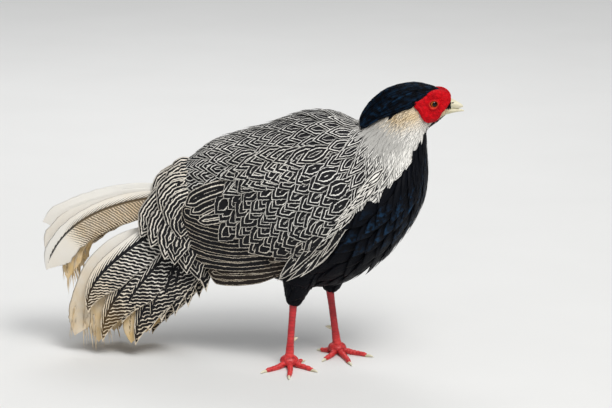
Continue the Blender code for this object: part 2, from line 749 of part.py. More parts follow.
def make_crest_core():
    """The cap of short feathers on the crown and nape that the long plumes grow from."""
    lengths = np.linspace(CREST_START, CREST_END, 7)
    turns = np.linspace(-CREST_HALF_SPREAD, CREST_HALF_SPREAD, 9)
    points, faces = [], []
    rows, columns = len(lengths), len(turns)
    for outer in (False, True):
        for s in lengths:
            for turn in turns:
                edge = 1 - abs(turn) / CREST_HALF_SPREAD
                ends = min(1.0, (CREST_END - s) / 1.2, (s - CREST_START) / 1.2)
                swell = GAP + 0.0008 + CREST_CORE * math.sqrt(max(0.0, edge)) * math.sqrt(max(0.0, ends))
                points.append(body_point(s, turn, swell if outer else -0.002))
    size = rows * columns
    for i in range(rows - 1):
        for j in range(columns - 1):
            a = i * columns + j
            b = a + columns
            faces += [(a, a + 1, b + 1), (a, b + 1, b)]
            faces += [(a + size, b + 1 + size, a + 1 + size), (a + size, b + size, b + 1 + size)]
    rim = [j for j in range(columns)]
    rim += [i * columns + columns - 1 for i in range(1, rows)]
    rim += [(rows - 1) * columns + j for j in range(columns - 2, -1, -1)]
    rim += [i * columns for i in range(rows - 2, 0, -1)]
    for a, b in zip(rim, rim[1:] + rim[:1]):
        faces += [(a, b, b + size), (a, b + size, a + size)]
    return mesh_object("crest", points, faces, "black_plumage")


def crest_plume(name, s, turn, tip, half):
    """A long, narrow plume from the crown that lies back and comes down behind the nape."""
    root = body_point(s, turn, GAP + 0.0012)
    back = unit(body_point(s - 0.6, turn * 1.02, 0.004) - root)
    length = np.linalg.norm(np.array(tip) - root)
    fall = unit([-0.30, 0.0, 0.95])
    lead = root + back * length * 0.36 + unit(body_point(s, turn, 1.0) - root) * length * 0.10
    last = np.array(tip) + fall * length * 0.30
    controls = (root, lead, last, np.array(tip))
    spine, across, upright, halves = [], [], [], []
    sections = 4
    for i in range(sections):
        share = i / (sections - 1)
        place = bezier(controls, share)
        ahead = unit(bezier(controls, min(share + 0.01, 1)) - bezier(controls, max(share - 0.01, 0)))
        out = np.array([0.15, math.copysign(max(abs(math.sin(turn)), 0.02), -turn), abs(math.cos(turn))])
        out = unit(out - ahead * np.dot(out, ahead))
        spine.append(place)
        across.append(np.cross(ahead, out))
        upright.append(out)
        halves.append(half * (0.55 + 0.45 * min(1.0, share * 3)) * (1 - 0.85 * share**3))
    return vane(name, spine, across, upright, halves, "black_plumage")


def make_crest(clearances):
    draw = random.Random(23)
    core = make_crest_core()
    pieces = []
    rows = ((13.8, 5, 0.0055), (15.2, 4, 0.0058), (16.6, 3, 0.0056))
    for row, (s, count, half) in enumerate(rows):
        for i in range(count):
            share = (i + 0.5) / count * 2 - 1
            turn = CREST_HALF_SPREAD * 0.88 * share
            beside = min(1.0, abs(share) * 1.15)
            rear = 0.35 + 0.65 * draw.random() if row == 0 else draw.random()
            a, b = (np.array(p) for p in CREST_SIDE_TIPS)
            low = a + (b - a) * min(1.0, rear + 0.35 * (row == 0))
            tip = np.array(CREST_TIP) * (1 - beside) + low * beside
            tip[2] += 0.004 * row * (1 - beside)
            tip[0] += draw.uniform(-0.003, 0.003)
            tip[1] *= -math.copysign(1.0, share)
            pieces.append(crest_plume(f"plume_{row}_{i}", s, turn, tip, half))
    fuse(core, pieces)
    for clearance in clearances:
        cut(core, clearance)
    return core


# Legs


def make_thigh(side_name, leg, torso_clearance):
    side = leg["side"]
    heel = np.array(leg["heel"]) * (1, side, 1)
    hip = np.array([heel[0] + 0.012, heel[1], HIP_Z])
    path = [heel + (hip - heel) * share for share, _ in THIGH_RADII]
    thigh = tube("thigh_" + side_name, path, [r for _, r in THIGH_RADII], "black_plumage", sides=5)
    cut(thigh, torso_clearance)
    return as_cutter(thigh)


def make_shank(side_name, leg, clearances):
    """The scaly red leg, with the blunt spur on its inner, hind side."""
    side = leg["side"]
    heel, foot = np.array(leg["heel"]) * (1, side, 1), np.array(leg["foot"]) * (1, side, 1)
    down = unit(foot - heel)
    start = heel - down * 0.002
    length = np.linalg.norm(foot - start)
    shares, reaches = zip(*SHANK_RADII)
    steps = int(length / SCUTE_STEP)
    path, radii = [], []
    for i in range(steps):
        for part, rise in ((0.0, 0.0), (0.8, SCUTE_RISE)):
            share = (i + part) / steps
            path.append(start + (foot - start) * share)
            radii.append(np.interp(share, shares, reaches) + rise)
    path.append(foot)
    radii.append(reaches[-1])
    shank = tube("shank_" + side_name, path, radii, "leg_skin", sides=2)
    hind = math.radians(leg["toes"][3])
    root = foot - down * (SPUR_HEIGHT - foot[2])
    out = np.array([math.cos(hind), math.sin(hind), -0.12])
    spur = tube(
        "spur",
        [root, root + out * 0.0055, root + out * (0.004 + SPUR_LENGTH)],
        [SPUR_RADIUS * 1.2, SPUR_RADIUS, 0.0008],
        "leg_skin",
    )
    fuse(shank, [spur])
    for clearance in clearances:
        cut(shank, clearance)


def block_cutter(name, low, high):
    """A hidden block between two corners, to cut with."""
    bpy.ops.mesh.primitive_cube_add(size=1.0)
    block = bpy.context.object
    block.name = name
    for owner in list(block.users_collection):
        owner.objects.unlink(block)
    CUTTERS.objects.link(block)
    low, high = np.array(low), np.array(high)
    for vert in block.data.vertices:
        vert.co = Vector(low + (np.array(vert.co) + 0.5) * (high - low))
    block.hide_render = True
    block.display_type = "WIRE"
    return block


def make_pad(side_name, leg, floor):
    foot = np.array(leg["foot"]) * (1, leg["side"], 1)
    bpy.ops.mesh.primitive_uv_sphere_add(segments=14, ring_count=8, radius=1.0)
    pad = bpy.context.object
    pad.name = pad.data.name = "foot_" + side_name
    for owner in list(pad.users_collection):
        owner.objects.unlink(pad)
    BIRD.objects.link(pad)
    for vert in pad.data.vertices:
        vert.co = Vector(
            (
                foot[0] + vert.co.x * PAD_RADIUS,
                foot[1] + vert.co.y * PAD_RADIUS,
                PAD_CENTRE_Z + vert.co.z * PAD_HEIGHT,
            )
        )
    face_outwards(pad.data)
    pad.data.materials.append(paint("leg_skin"))
    cut(pad, floor)
    return pad


def make_toes(side_name, leg, pad_clearance, floor):
    """Four toes that rest flat on the floor, each with a claw in a node of its own."""
    foot = np.array(leg["foot"]) * (1, leg["side"], 1)
    for toe, length, knuckles, claw_length, turn in zip(
        TOE_NAMES, TOE_LENGTHS, TOE_KNUCKLES, CLAW_LENGTHS, leg["toes"]
    ):
        heading = np.array([math.cos(math.radians(turn)), math.sin(math.radians(turn)), 0.0])
        sway = np.array([-heading[1], heading[0], 0.0]) * 0.0015
        path, radii = [], []
        sections = 2 * knuckles + 3
        for i in range(sections):
            share = i / (sections - 1)
            bulge = 0.00045 * math.cos(2 * math.pi * knuckles * share) ** 2 * (share > 0.1)
            radius = TOE_ROOT_RADIUS + (TOE_TIP_RADIUS - TOE_ROOT_RADIUS) * share + bulge
            reach = PAD_RADIUS * 0.5 + (length - PAD_RADIUS * 0.5) * share
            level = radius - SOLE_SINK
            place = foot * (1, 1, 0) + heading * reach + sway * math.sin(math.pi * share)
            place[2] = max(level, TOE_ROOT_Z + (level - TOE_ROOT_Z) * min(1.0, share * 2.4))
            path.append(place)
            radii.append(radius)
        digit = tube(f"toe_{side_name}_{toe}", path, radii, "leg_skin", sides=2)
        cut(digit, pad_clearance)
        cut(digit, floor)
        root = path[-1] - heading * 0.001 + np.array([0, 0, 0.0004])
        ahead = heading * claw_length
        claw_path = [root, root + ahead * 0.45 + np.array([0, 0, 0.0006]), root + ahead * 0.85, root + ahead]
        claw_path[2][2] = 0.0017
        claw_path[3][2] = 0.0010
        claw = tube(f"claw_{side_name}_{toe}", claw_path, [0.0019, 0.0017, 0.0010, 0.0005], "horn", sides=1)
        cut(claw, as_cutter(digit))


# The whole bird


def turn_head():
    """Turns what lies past the middle of the neck to his left. The turn grows smoothly along the neck."""
    start = np.array([TURN_START[0], 0.0, TURN_START[1]])
    along = np.array([math.cos(TURN_RISE), 0.0, math.sin(TURN_RISE)])
    for obj in BIRD.objects:
        if obj.type != "MESH":
            continue
        count = len(obj.data.vertices)
        flat = np.empty(count * 3, np.float32)
        obj.data.vertices.foreach_get("co", flat)
        points = flat.reshape(-1, 3).astype(float)
        share = np.clip((points - start) @ along / TURN_LENGTH, 0.0, 1.0)
        turn = HEAD_TURN * share * share * (3 - 2 * share)
        x, y = points[:, 0] - TURN_AXIS_X, points[:, 1].copy()
        points[:, 0] = TURN_AXIS_X + x * np.cos(turn) - y * np.sin(turn)
        points[:, 1] = x * np.sin(turn) + y * np.cos(turn)
        obj.data.vertices.foreach_set("co", points.astype(np.float32).ravel())
        obj.data.update()


def set_origin():
    """Hangs every piece on one empty, placed so that the origin is on the floor under the bird's middle."""
    empty = bpy.data.objects.new("stance", None)
    BIRD.objects.link(empty)
    low, high = np.full(3, np.inf), np.full(3, -np.inf)
    for obj in BIRD.objects:
        if obj.type != "MESH":
            continue
        corners = np.array([v.co for v in obj.data.vertices])
        low, high = np.minimum(low, corners.min(0)), np.maximum(high, corners.max(0))
        obj.parent = empty
    empty.location = (-(low[0] + high[0]) / 2, -(low[1] + high[1]) / 2, -low[2])


def main():
    clear_scene()
    torso, neck, head = make_body()
    torso_clearance = as_cutter(torso)
    floor = block_cutter("floor_clearance", (-0.2, -0.3, -0.1), (0.3, 0.3, 0.0))
    make_wing("wing_right", -1, torso_clearance, 5)
    make_wing("wing_left", 1, torso_clearance, 6)
    make_tail("tail_right", -1, 11, torso_clearance)
    make_tail("tail_left", 1, 12, torso_clearance)

    eyes = [make_eye("eye_right", -1), make_eye("eye_left", 1)]
    eye_clearances = [as_cutter(eye) for eye in eyes]
    for clearance in eye_clearances:
        cut(head, clearance)
    head_clearance, neck_clearance = as_cutter(head), as_cutter(neck)
    upper = bill_half("bill_upper", UPPER_BILL)
    lower = bill_half("bill_lower", LOWER_BILL)
    for half in (upper, lower):
        cut(half, head_clearance)
    for side in (-1, 1):
        cut(upper, nostril_cutter(side))
    upper_clearance = as_cutter(upper)
    cut(lower, upper_clearance)
    lower_clearance = as_cutter(lower)
    faces = []
    for name, side, eye_clearance in (("face_right", -1, eye_clearances[0]), ("face_left", 1, eye_clearances[1])):
        face = make_face(name, side, 31)
        for clearance in (head_clearance, eye_clearance, upper_clearance, lower_clearance, neck_clearance):
            cut(face, clearance)
        faces.append(face)
    crest_blocks = [head_clearance, neck_clearance, torso_clearance] + [as_cutter(face) for face in faces]
    make_crest(crest_blocks)

    for side_name, leg in LEGS.items():
        thigh_clearance = make_thigh(side_name, leg, torso_clearance)
        pad = make_pad(side_name, leg, floor)
        pad_clearance = as_cutter(pad)
        make_shank(side_name, leg, (thigh_clearance, pad_clearance))
        make_toes(side_name, leg, pad_clearance, floor)

    for obj in BIRD.objects:
        merge_flats(obj)
    turn_head()
    set_origin()


main()
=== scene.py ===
"""The looks of a silver pheasant cock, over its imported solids: skin, plumage, bare face, bill, eyes and legs.

Lengths are in metres. Most of it is drawn in the bird frame, whose X = 0 lies under the shoulders, with the
head straight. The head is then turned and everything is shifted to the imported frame's origin.
"""

import math

import bpy
import numpy as np
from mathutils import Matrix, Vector, noise
from mathutils.bvhtree import BVHTree


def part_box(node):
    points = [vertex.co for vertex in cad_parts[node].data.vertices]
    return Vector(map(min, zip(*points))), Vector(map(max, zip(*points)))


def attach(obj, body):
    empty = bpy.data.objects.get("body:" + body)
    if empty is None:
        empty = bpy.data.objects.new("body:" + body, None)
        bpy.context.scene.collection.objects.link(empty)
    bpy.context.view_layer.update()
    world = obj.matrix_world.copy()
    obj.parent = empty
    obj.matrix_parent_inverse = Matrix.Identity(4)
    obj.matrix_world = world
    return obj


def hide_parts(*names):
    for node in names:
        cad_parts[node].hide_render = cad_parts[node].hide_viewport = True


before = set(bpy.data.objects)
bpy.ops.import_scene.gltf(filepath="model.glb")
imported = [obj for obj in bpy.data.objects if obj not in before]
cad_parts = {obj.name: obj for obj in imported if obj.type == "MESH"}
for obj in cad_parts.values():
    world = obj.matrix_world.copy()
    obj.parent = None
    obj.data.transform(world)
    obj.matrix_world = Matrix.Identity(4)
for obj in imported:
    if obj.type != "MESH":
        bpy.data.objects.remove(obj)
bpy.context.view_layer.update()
SIDES = (("right", -1), ("left", 1))

# Body, neck and head. Each station: (upper x, upper z, lower x, lower z, half width)
STATIONS = np.array(
    (
        (-0.205, 0.214, -0.200, 0.188, 0.010),
        (-0.181, 0.227, -0.168, 0.174, 0.024),
        (-0.153, 0.2555, -0.140, 0.158, 0.037),
        (-0.121, 0.2805, -0.110, 0.141, 0.051),
        (-0.086, 0.294, -0.080, 0.121, 0.062),
        (-0.048, 0.306, -0.045, 0.104, 0.068),
        (-0.010, 0.321, -0.003, 0.094, 0.071),
        (0.022, 0.323, 0.045, 0.102, 0.070),
        (0.043, 0.317, 0.086, 0.130, 0.065),
        (0.058, 0.312, 0.121, 0.170, 0.057),
        (0.068, 0.311, 0.143, 0.208, 0.048),
        (0.077, 0.317, 0.149, 0.242, 0.038),
        (0.087, 0.327, 0.148, 0.269, 0.030),
        (0.098, 0.339, 0.147, 0.290, 0.0245),
        (0.112, 0.350, 0.148, 0.301, 0.0215),
        (0.128, 0.355, 0.153, 0.306, 0.0190),
        (0.145, 0.355, 0.161, 0.312, 0.0165),
        (0.160, 0.352, 0.169, 0.320, 0.0135),
        (0.171, 0.3465, 0.175, 0.326, 0.0100),
        (0.177, 0.341, 0.179, 0.331, 0.0055),
    )
)
LAST = len(STATIONS) - 1

# How deep the skin lies under the plumage, by station
COAT_AT = (0, 2, 9, 11, 13, 15, 17, 19)
COAT_DEPTH = (0.0030, 0.0045, 0.0045, 0.0032, 0.0022, 0.0014, 0.0008, 0.0006)

# The head turns to his left about an upright line through the neck
HEAD_TURN = math.radians(10.0)
TURN_AXIS_X = 0.110
TURN_START = np.array([0.078, 0.0, 0.300])
TURN_LENGTH = 0.045
TURN_RISE = math.radians(50.0)

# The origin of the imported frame, read from the right foot's pad
FOOT_RIGHT = (-0.019, -0.036)
PAD_LOW, PAD_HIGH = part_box("foot_right")
SHIFT = np.array(
    [
        (PAD_LOW[0] + PAD_HIGH[0]) / 2 - FOOT_RIGHT[0],
        (PAD_LOW[1] + PAD_HIGH[1]) / 2 - FOOT_RIGHT[1],
        0.0,
    ]
)

# Where the white of his upper side meets the black of his under side, in side view: (x, z) from chin to vent
BORDER = np.array(
    (
        (0.172, 0.3235),
        (0.163, 0.3170),
        (0.1550, 0.3105),
        (0.1500, 0.3040),
        (0.1400, 0.2990),
        (0.1350, 0.2900),
        (0.1345, 0.2800),
        (0.1300, 0.2700),
        (0.1245, 0.2615),
        (0.1170, 0.2540),
        (0.106, 0.2440),
        (0.096, 0.2315),
        (0.078, 0.2150),
        (0.058, 0.2025),
        (0.039, 0.191),
        (0.027, 0.178),
        (0.011, 0.156),
        (-0.011, 0.133),
        (-0.040, 0.122),
        (-0.090, 0.128),
        (-0.125, 0.148),
        (-0.165, 0.172),
    )
)


# Small helpers


def unit(vectors):
    vectors = np.asarray(vectors, float)
    return vectors / np.maximum(np.linalg.norm(vectors, axis=-1, keepdims=True), 1e-12)


def ramp(value, low, high):
    """0 below low, 1 above high and a smooth rise between them."""
    share = np.clip((np.asarray(value, float) - low) / (high - low), 0.0, 1.0)
    return share * share * (3 - 2 * share)


def between(a, b, share):
    """From a at 0 to b at 1."""
    return a * (1 - share) + b * share


def square_to(vectors, axis):
    """Unit vectors, with what they have along the axis taken out."""
    return unit(vectors - axis * (vectors * axis).sum(-1, keepdims=True))


def rows_at(table, places):
    """A table's rows at fractional indices, by a Catmull-Rom curve through them."""
    last = len(table) - 1
    places = np.clip(np.asarray(places, float), 0.0, last)
    i = np.minimum(places.astype(int), last - 1)
    t = (places - i)[..., None]
    a, b = table[i], table[i + 1]
    before, after = table[np.maximum(i - 1, 0)], table[np.minimum(i + 2, last)]
    slope_a, slope_b = (b - before) / 2, (after - a) / 2
    return (
        (2 * t**3 - 3 * t**2 + 1) * a
        + (t**3 - 2 * t**2 + t) * slope_a
        + (3 * t**2 - 2 * t**3) * b
        + (t**3 - t**2) * slope_b
    )


def smooth_rows(table, count):
    """As many rows as asked for, spread evenly along a table."""
    return rows_at(table, np.linspace(0, len(table) - 1, count))


def turned(points):
    """The points, with what lies up the neck turned to his left, more and more along the neck."""
    along = np.array([math.cos(TURN_RISE), 0.0, math.sin(TURN_RISE)])
    share = np.clip((points - TURN_START) @ along / TURN_LENGTH, 0.0, 1.0)
    turn = HEAD_TURN * share * share * (3 - 2 * share)
    x, y = points[..., 0] - TURN_AXIS_X, points[..., 1]
    placed = np.array(points, float)
    placed[..., 0] = TURN_AXIS_X + x * np.cos(turn) - y * np.sin(turn)
    placed[..., 1] = x * np.sin(turn) + y * np.cos(turn)
    return placed


def to_frame(points):
    """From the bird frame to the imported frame."""
    return turned(np.asarray(points, float)) + SHIFT


def add_object(name, points, faces, material, uvs=None, marks=None, body_frame=True):
    """A smooth mesh object from arrays. Faces is one array of triangles or quads, or a list of them."""
    groups = faces if isinstance(faces, list) else [faces]
    points = to_frame(points) if body_frame else np.asarray(points, float)
    corners = np.concatenate([group.ravel() for group in groups])
    sizes = np.concatenate([np.full(len(group), group.shape[1]) for group in groups])
    mesh = bpy.data.meshes.new(name)
    mesh.vertices.add(len(points))
    mesh.vertices.foreach_set("co", points.astype(np.float32).ravel())
    mesh.loops.add(len(corners))
    mesh.loops.foreach_set("vertex_index", corners.astype(np.int32))
    mesh.polygons.add(len(sizes))
    mesh.polygons.foreach_set("loop_start", np.concatenate([[0], np.cumsum(sizes)[:-1]]).astype(np.int32))
    mesh.update(calc_edges=True)
    mesh.shade_smooth()
    for layer, values in (uvs or {}).items():
        uv = mesh.uv_layers.new(name=layer)
        uv.data.foreach_set("uv", values[corners].astype(np.float32).ravel())
    for mark, values in (marks or {}).items():
        attribute = mesh.attributes.new(mark, "FLOAT", "POINT")
        attribute.data.foreach_set("value", np.asarray(values, np.float32))
    obj = bpy.data.objects.new(name, mesh)
    bpy.context.scene.collection.objects.link(obj)
    mesh.materials.append(material)
    return obj


def dress(obj, nodes=()):
    """Hangs a finished piece on the bird and the nodes that it stands for."""
    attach(obj, "root")
    if nodes:
        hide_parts(*nodes)
    return obj


def ring_faces(rows, count, closed=True):
    """Quads between neighbouring rows of equal counts of points."""
    j = np.arange(count if closed else count - 1)
    k = (j + 1) % count
    i = np.arange(rows - 1)[:, None] * count
    return np.stack([i + j, i + k, i + count + k, i + count + j], -1).reshape(-1, 4)


def evaluated(obj):
    """Applies an object's modifiers."""
    bpy.context.view_layer.update()
    graph = bpy.context.evaluated_depsgraph_get()
    made = bpy.data.meshes.new_from_object(obj.evaluated_get(graph))
    obj.modifiers.clear()
    obj.data = made
    return obj


# The body's surface


def body_point(s, angle, height):
    """Points on the body at fractional stations. The angle is 0 on his back and grows to his right."""
    s, angle, height = np.broadcast_arrays(s, angle, height)
    top_x, top_z, low_x, low_z, width = np.moveaxis(rows_at(STATIONS, s), -1, 0)
    zero = np.zeros_like(top_x)
    top, low = np.stack([top_x, zero, top_z], -1), np.stack([low_x, zero, low_z], -1)
    middle, up = (top + low) / 2, (top - low) / 2
    tall = np.linalg.norm(up, axis=-1, keepdims=True)
    cosine, sine = np.cos(angle)[..., None], np.sin(angle)[..., None]
    sideways = np.array([0.0, -1.0, 0.0])
    rim = middle + up * cosine + sideways * sine * width[..., None]
    outward = unit(up / tall**2 * cosine + sideways * sine / width[..., None])
    return rim + outward * height[..., None]


def coat_depth(s):
    return np.interp(s, COAT_AT, COAT_DEPTH)


# The skin

HIP_Z = 0.140
# The toes' headings are in degrees: inner, middle, outer and hind
LEGS = {
    "right": {
        "side": -1,
        "heel": (-0.014, 0.034, 0.081),
        "foot": (-0.019, 0.036, 0.010),
        "toes": (-30, -78, -122, 55),
    },
    "left": {
        "side": 1,
        "heel": (0.019, 0.032, 0.084),
        "foot": (0.028, 0.035, 0.010),
        "toes": (-102, -62, -14, 172),
    },
}
THIGH_SHARES = (0.0, 0.14, 0.33, 0.55, 1.0)
THIGH_RADII = (0.0066, 0.0115, 0.0165, 0.0215, 0.0270)
THIGH_COAT = 0.0022
SKIN_CELL = 0.0020


def limb_rings(path, radii, count):
    """Rings of points round a path."""
    way = unit(np.gradient(path, axis=0))
    helper = (1.0, 0.0, 0.0) if abs(way[0, 2]) > 0.7 else (0.0, 0.0, 1.0)
    first = unit(np.cross(way, helper))
    second = np.cross(way, first)
    turns = np.linspace(0, 2 * math.pi, count, endpoint=False)
    radii = radii[:, None]
    return (
        path[:, None]
        + first[:, None] * (np.cos(turns) * radii)[..., None]
        + second[:, None] * (np.sin(turns) * radii)[..., None]
    )


def closed_tube(rings):
    """Points and faces of a tube through rings, closed at both ends."""
    rows, count = rings.shape[:2]
    points = np.vstack([rings.reshape(-1, 3), rings[0].mean(0), rings[-1].mean(0)])
    j = np.arange(count)
    k = (j + 1) % count
    last = (rows - 1) * count
    caps = [
        np.stack([np.full(count, rows * count), k, j], -1),
        np.stack([np.full(count, rows * count + 1), last + j, last + k], -1),
    ]
    return points, [ring_faces(rows, count), np.vstack(caps)]


def thigh_line(leg, share):
    """The thigh's middle line, from the heel at 0 to the hip at 1."""
    heel = np.array(leg["heel"]) * (1, leg["side"], 1)
    hip = np.array([heel[0] + 0.012, heel[1], HIP_Z])
    return heel + (hip - heel) * share[:, None]


def thigh_radius(share):
    """The thigh's bare radius, without its plumage."""
    return np.interp(share, THIGH_SHARES, THIGH_RADII) - THIGH_COAT * ramp(share, 0.0, 0.3)


def make_skin(material):
    """One skin for body, neck, head and thighs: overlapping forms joined and smoothed into one."""
    s = np.linspace(0.02, LAST - 0.02, 150)
    turns = np.linspace(0, 2 * math.pi, 72, endpoint=False)
    rings = body_point(s[:, None], turns[None], -coat_depth(s)[:, None])
    forms = [closed_tube(rings)]
    share = np.linspace(0.0, 1.0, 24)
    for leg in LEGS.values():
        forms.append(closed_tube(limb_rings(thigh_line(leg, share), thigh_radius(share), 28)))
    points, quads, triangles, start = [], [], [], 0
    for form_points, (form_quads, form_triangles) in forms:
        points.append(form_points)
        quads.append(form_quads + start)
        triangles.append(form_triangles + start)
        start += len(form_points)
    faces = [np.vstack(quads), np.vstack(triangles)]
    skin = add_object("skin", np.vstack(points), faces, material, body_frame=False)
    remesh = skin.modifiers.new("join", "REMESH")
    remesh.mode = "VOXEL"
    remesh.voxel_size = SKIN_CELL
    relax = skin.modifiers.new("relax", "SMOOTH")
    relax.factor = 0.5
    relax.iterations = 6
    evaluated(skin)
    return skin


# Grounds that feathers lie on

WAY_REACH = 0.012


class Ground:
    """A surface of triangles with soft normals, which feathers are laid on."""

    def __init__(self, points, faces):
        self.tree = BVHTree.FromPolygons([tuple(p) for p in points], [tuple(f) for f in faces])
        faces = np.asarray(faces)
        corners = points[faces]
        flat = unit(np.cross(corners[:, 1] - corners[:, 0], corners[:, 2] - corners[:, 0]))
        for _ in range(4):
            at_points = np.zeros_like(points)
            for k in range(faces.shape[1]):
                np.add.at(at_points, faces[:, k], flat)
            flat = unit(unit(at_points)[faces].mean(1))
        self.normals = flat

    def at(self, points):
        """The nearest places on the ground and the way out of it there."""
        flat = points.reshape(-1, 3)
        found = [self.tree.find_nearest(Vector(p)) for p in flat.tolist()]
        places = np.array([hit[0] for hit in found])
        outward = self.normals[[hit[2] for hit in found]]
        return places.reshape(points.shape), outward.reshape(points.shape)


def sample(grid, i, j):
    """Values between the points of a grid."""
    rows, columns = grid.shape[:2]
    i, j = np.asarray(i, float), np.asarray(j, float)
    i0 = np.clip(np.floor(i).astype(int), 0, rows - 2)
    j0 = np.clip(np.floor(j).astype(int), 0, columns - 2)
    a, b = i - i0, j - j0
    if grid.ndim == 3:
        a, b = a[..., None], b[..., None]
    low = grid[i0, j0] * (1 - b) + grid[i0, j0 + 1] * b
    high = grid[i0 + 1, j0] * (1 - b) + grid[i0 + 1, j0 + 1] * b
    return low * (1 - a) + high * a


def from_line(line, points):
    """A line's spans in side view, and each point's offsets from their starts and distances from them."""
    starts, spans = line[:-1], np.diff(line, axis=0)
    offsets = points[..., None, :] - starts
    share = np.clip((offsets * spans).sum(-1) / (spans**2).sum(-1), 0, 1)
    return spans, offsets, np.linalg.norm(offsets - share[..., None] * spans, axis=-1)


def beside_line(line, points):
    """Signed distance from an open line in side view, positive on the right hand of its way."""
    spans, offsets, distance = from_line(line, points)
    nearest = distance.argmin(-1)[..., None]
    cross = spans[:, 0] * offsets[..., 1] - spans[:, 1] * offsets[..., 0]
    sign = -np.sign(np.take_along_axis(cross, nearest, -1)[..., 0])
    return np.take_along_axis(distance, nearest, -1)[..., 0] * sign


def way_along(line, points):
    """The line's own way, in side view, next to each point: a mean in which near spans count most."""
    spans, _, distance = from_line(line, points)
    near = np.exp(-((distance / WAY_REACH) ** 2)) + 1e-9
    return unit((near[..., None] * unit(spans)).sum(1))


def under_side(points):
    """Distance past the border between white and black: positive where he is black."""
    return -beside_line(BORDER, points[..., [0, 2]])


# Rows of feathers

ALONG_STRAY, ACROSS_STRAY = 0.05, 0.06
# Half the share of its cell that a vane's patch fills on the bake map
PATCH = 0.42


def lay_rows(grid, step, gap, draw, closed=True):
    """Roots in staggered rows over a grid of points whose first index runs the way the feathers lie.

    Returns their places along and across the grid, and their cells: middle and half sizes on the bake map."""
    rows, columns = grid.shape[:2]
    runs = np.linalg.norm(np.diff(grid, axis=0), axis=2)
    count = np.vstack([np.zeros(columns), np.cumsum(2 * runs / (step[1:] + step[:-1]), axis=0)])
    along, around = np.arange(rows), np.arange(columns)
    total = int(count[-1].max())
    found = []
    for row in range(total):
        level = row + 0.5
        i_at = np.array([np.interp(level, count[:, j], along) for j in around])
        inside = (count[-1] > level).astype(float)
        line, spread = sample(grid, i_at, around), sample(gap, i_at, around)
        lengths = np.linalg.norm(np.diff(line, axis=0), axis=1)
        across = np.concatenate([[0.0], np.cumsum(2 * lengths / (spread[1:] + spread[:-1]))])
        number = max(int(round(across[-1])), 2)
        cells = np.arange(number)
        stray = draw.uniform(-ACROSS_STRAY, ACROSS_STRAY, number)
        places = (cells + 0.25 + 0.5 * (row % 2) + stray) * across[-1] / number
        j_at = np.interp(places, across, around)
        i_row = np.interp(j_at, around, i_at) + draw.uniform(-ALONG_STRAY, ALONG_STRAY, number)
        good = np.interp(j_at, around, inside) > 0.99
        if not closed:
            good &= (places > 0) & (places < across[-1])
        cell = [np.full(number, level / total), (cells + 0.5) / number]
        sizes = [np.full(number, PATCH / total), np.full(number, PATCH / number)]
        found.append(np.stack([i_row, j_at] + cell + sizes, -1)[good])
    found = np.vstack(found)
    return found[:, 0], found[:, 1], found[:, 2:]


def roots_on(grid, i, j):
    """Places and ways of the roots on their grid."""
    return sample(grid, i, j), unit(sample(grid, i + 0.6, j) - sample(grid, i - 0.6, j))


def patches(number, band, half_u, half_v=PATCH):
    """Cells side by side in one band of the bake map."""
    return np.stack([np.full(number, band), (np.arange(number) + 0.5) / number, np.full(number, half_u),
                     np.full(number, half_v / number)], -1)


# Vanes

VANE_THICK, BLADE_THICK = 0.0003, 0.0004
RISE_POWER = 1.6
# How the vanes that lie on a ground differ: in length, sideways bow, height and lean
LENGTH_STRAY, BOW_STRAY, HEIGHT_STRAY, LEAN_STRAY = (0.94, 1.06), 0.03, 0.0002, 0.035
# The length that one unit of a vane's own coordinates stands for
UV_UNIT = 0.01


class Coat:
    """Thin closed vanes gathered for one piece."""

    def __init__(self):
        self.points, self.quads, self.marks, self.bake, self.size = [], [], [], [], 0

    def add(self, top, normal, thick, marks, cell, t, c):
        """Closes vanes whose upper faces are grids of points (feather, row, column) and keeps their marks."""
        number, rows, columns = top.shape[:3]
        under = (top - normal * thick)[:, 1:-1, 1:-1]
        points = np.concatenate([top.reshape(number, -1, 3), under.reshape(number, -1, 3)], 1)
        upper = np.arange(rows * columns).reshape(rows, columns)
        inner = np.arange((rows - 2) * (columns - 2)).reshape(rows - 2, columns - 2)
        lower = upper.copy()
        lower[1:-1, 1:-1] = rows * columns + inner
        a, b, c0, d = upper[:-1, :-1], upper[1:, :-1], upper[1:, 1:], upper[:-1, 1:]
        e, f, g, h = lower[:-1, :-1], lower[1:, :-1], lower[1:, 1:], lower[:-1, 1:]
        sheets = [np.stack([a, b, c0, d], -1), np.stack([e, h, g, f], -1)]
        quads = np.concatenate([sheet.reshape(-1, 4) for sheet in sheets])
        each = points.shape[1]
        starts = self.size + np.arange(number) * each
        self.quads.append((quads[None] + starts[:, None, None]).reshape(-1, 4))
        self.points.append(points.reshape(-1, 3))
        self.size += number * each

        def both(values):
            values = np.broadcast_to(values, (number, rows, columns))
            inner = values[:, 1:-1, 1:-1]
            return np.concatenate([values.reshape(number, -1), inner.reshape(number, -1)], 1).ravel()

        self.marks.append({name: both(values) for name, values in marks.items()})
        patch_u = cell[:, 0, None, None] + (2 * t - 1) * cell[:, 2, None, None]
        patch_v = cell[:, 1, None, None] + c * cell[:, 3, None, None]
        self.bake.append(np.stack([both(patch_u), both(patch_v)], -1))
        return self

    def build(self, name, material):
        marks = {key: np.concatenate([m[key] for m in self.marks]) for key in self.marks[0]}
        coordinates = np.stack([marks.pop("along"), marks.pop("across")], -1)
        uvs = {"OFBake": np.concatenate(self.bake), "Vane": coordinates}
        return add_object(name, np.vstack(self.points), np.vstack(self.quads), material, uvs, marks)


def outline(t, tip_from, power, quill):
    """A vane's half width along it, as a share of its widest."""
    past = np.clip((t - tip_from) / (1 - tip_from), 0, 1)
    return (quill + (1 - quill) * ramp(t, -0.05, 0.35)) * np.maximum(1 - past**power, 0.03)


def per_vane(values):
    """One value for each vane, shaped to spread over its grid. A single value stays single."""
    values = np.asarray(values, float)
    return values[:, None, None] if values.ndim else values


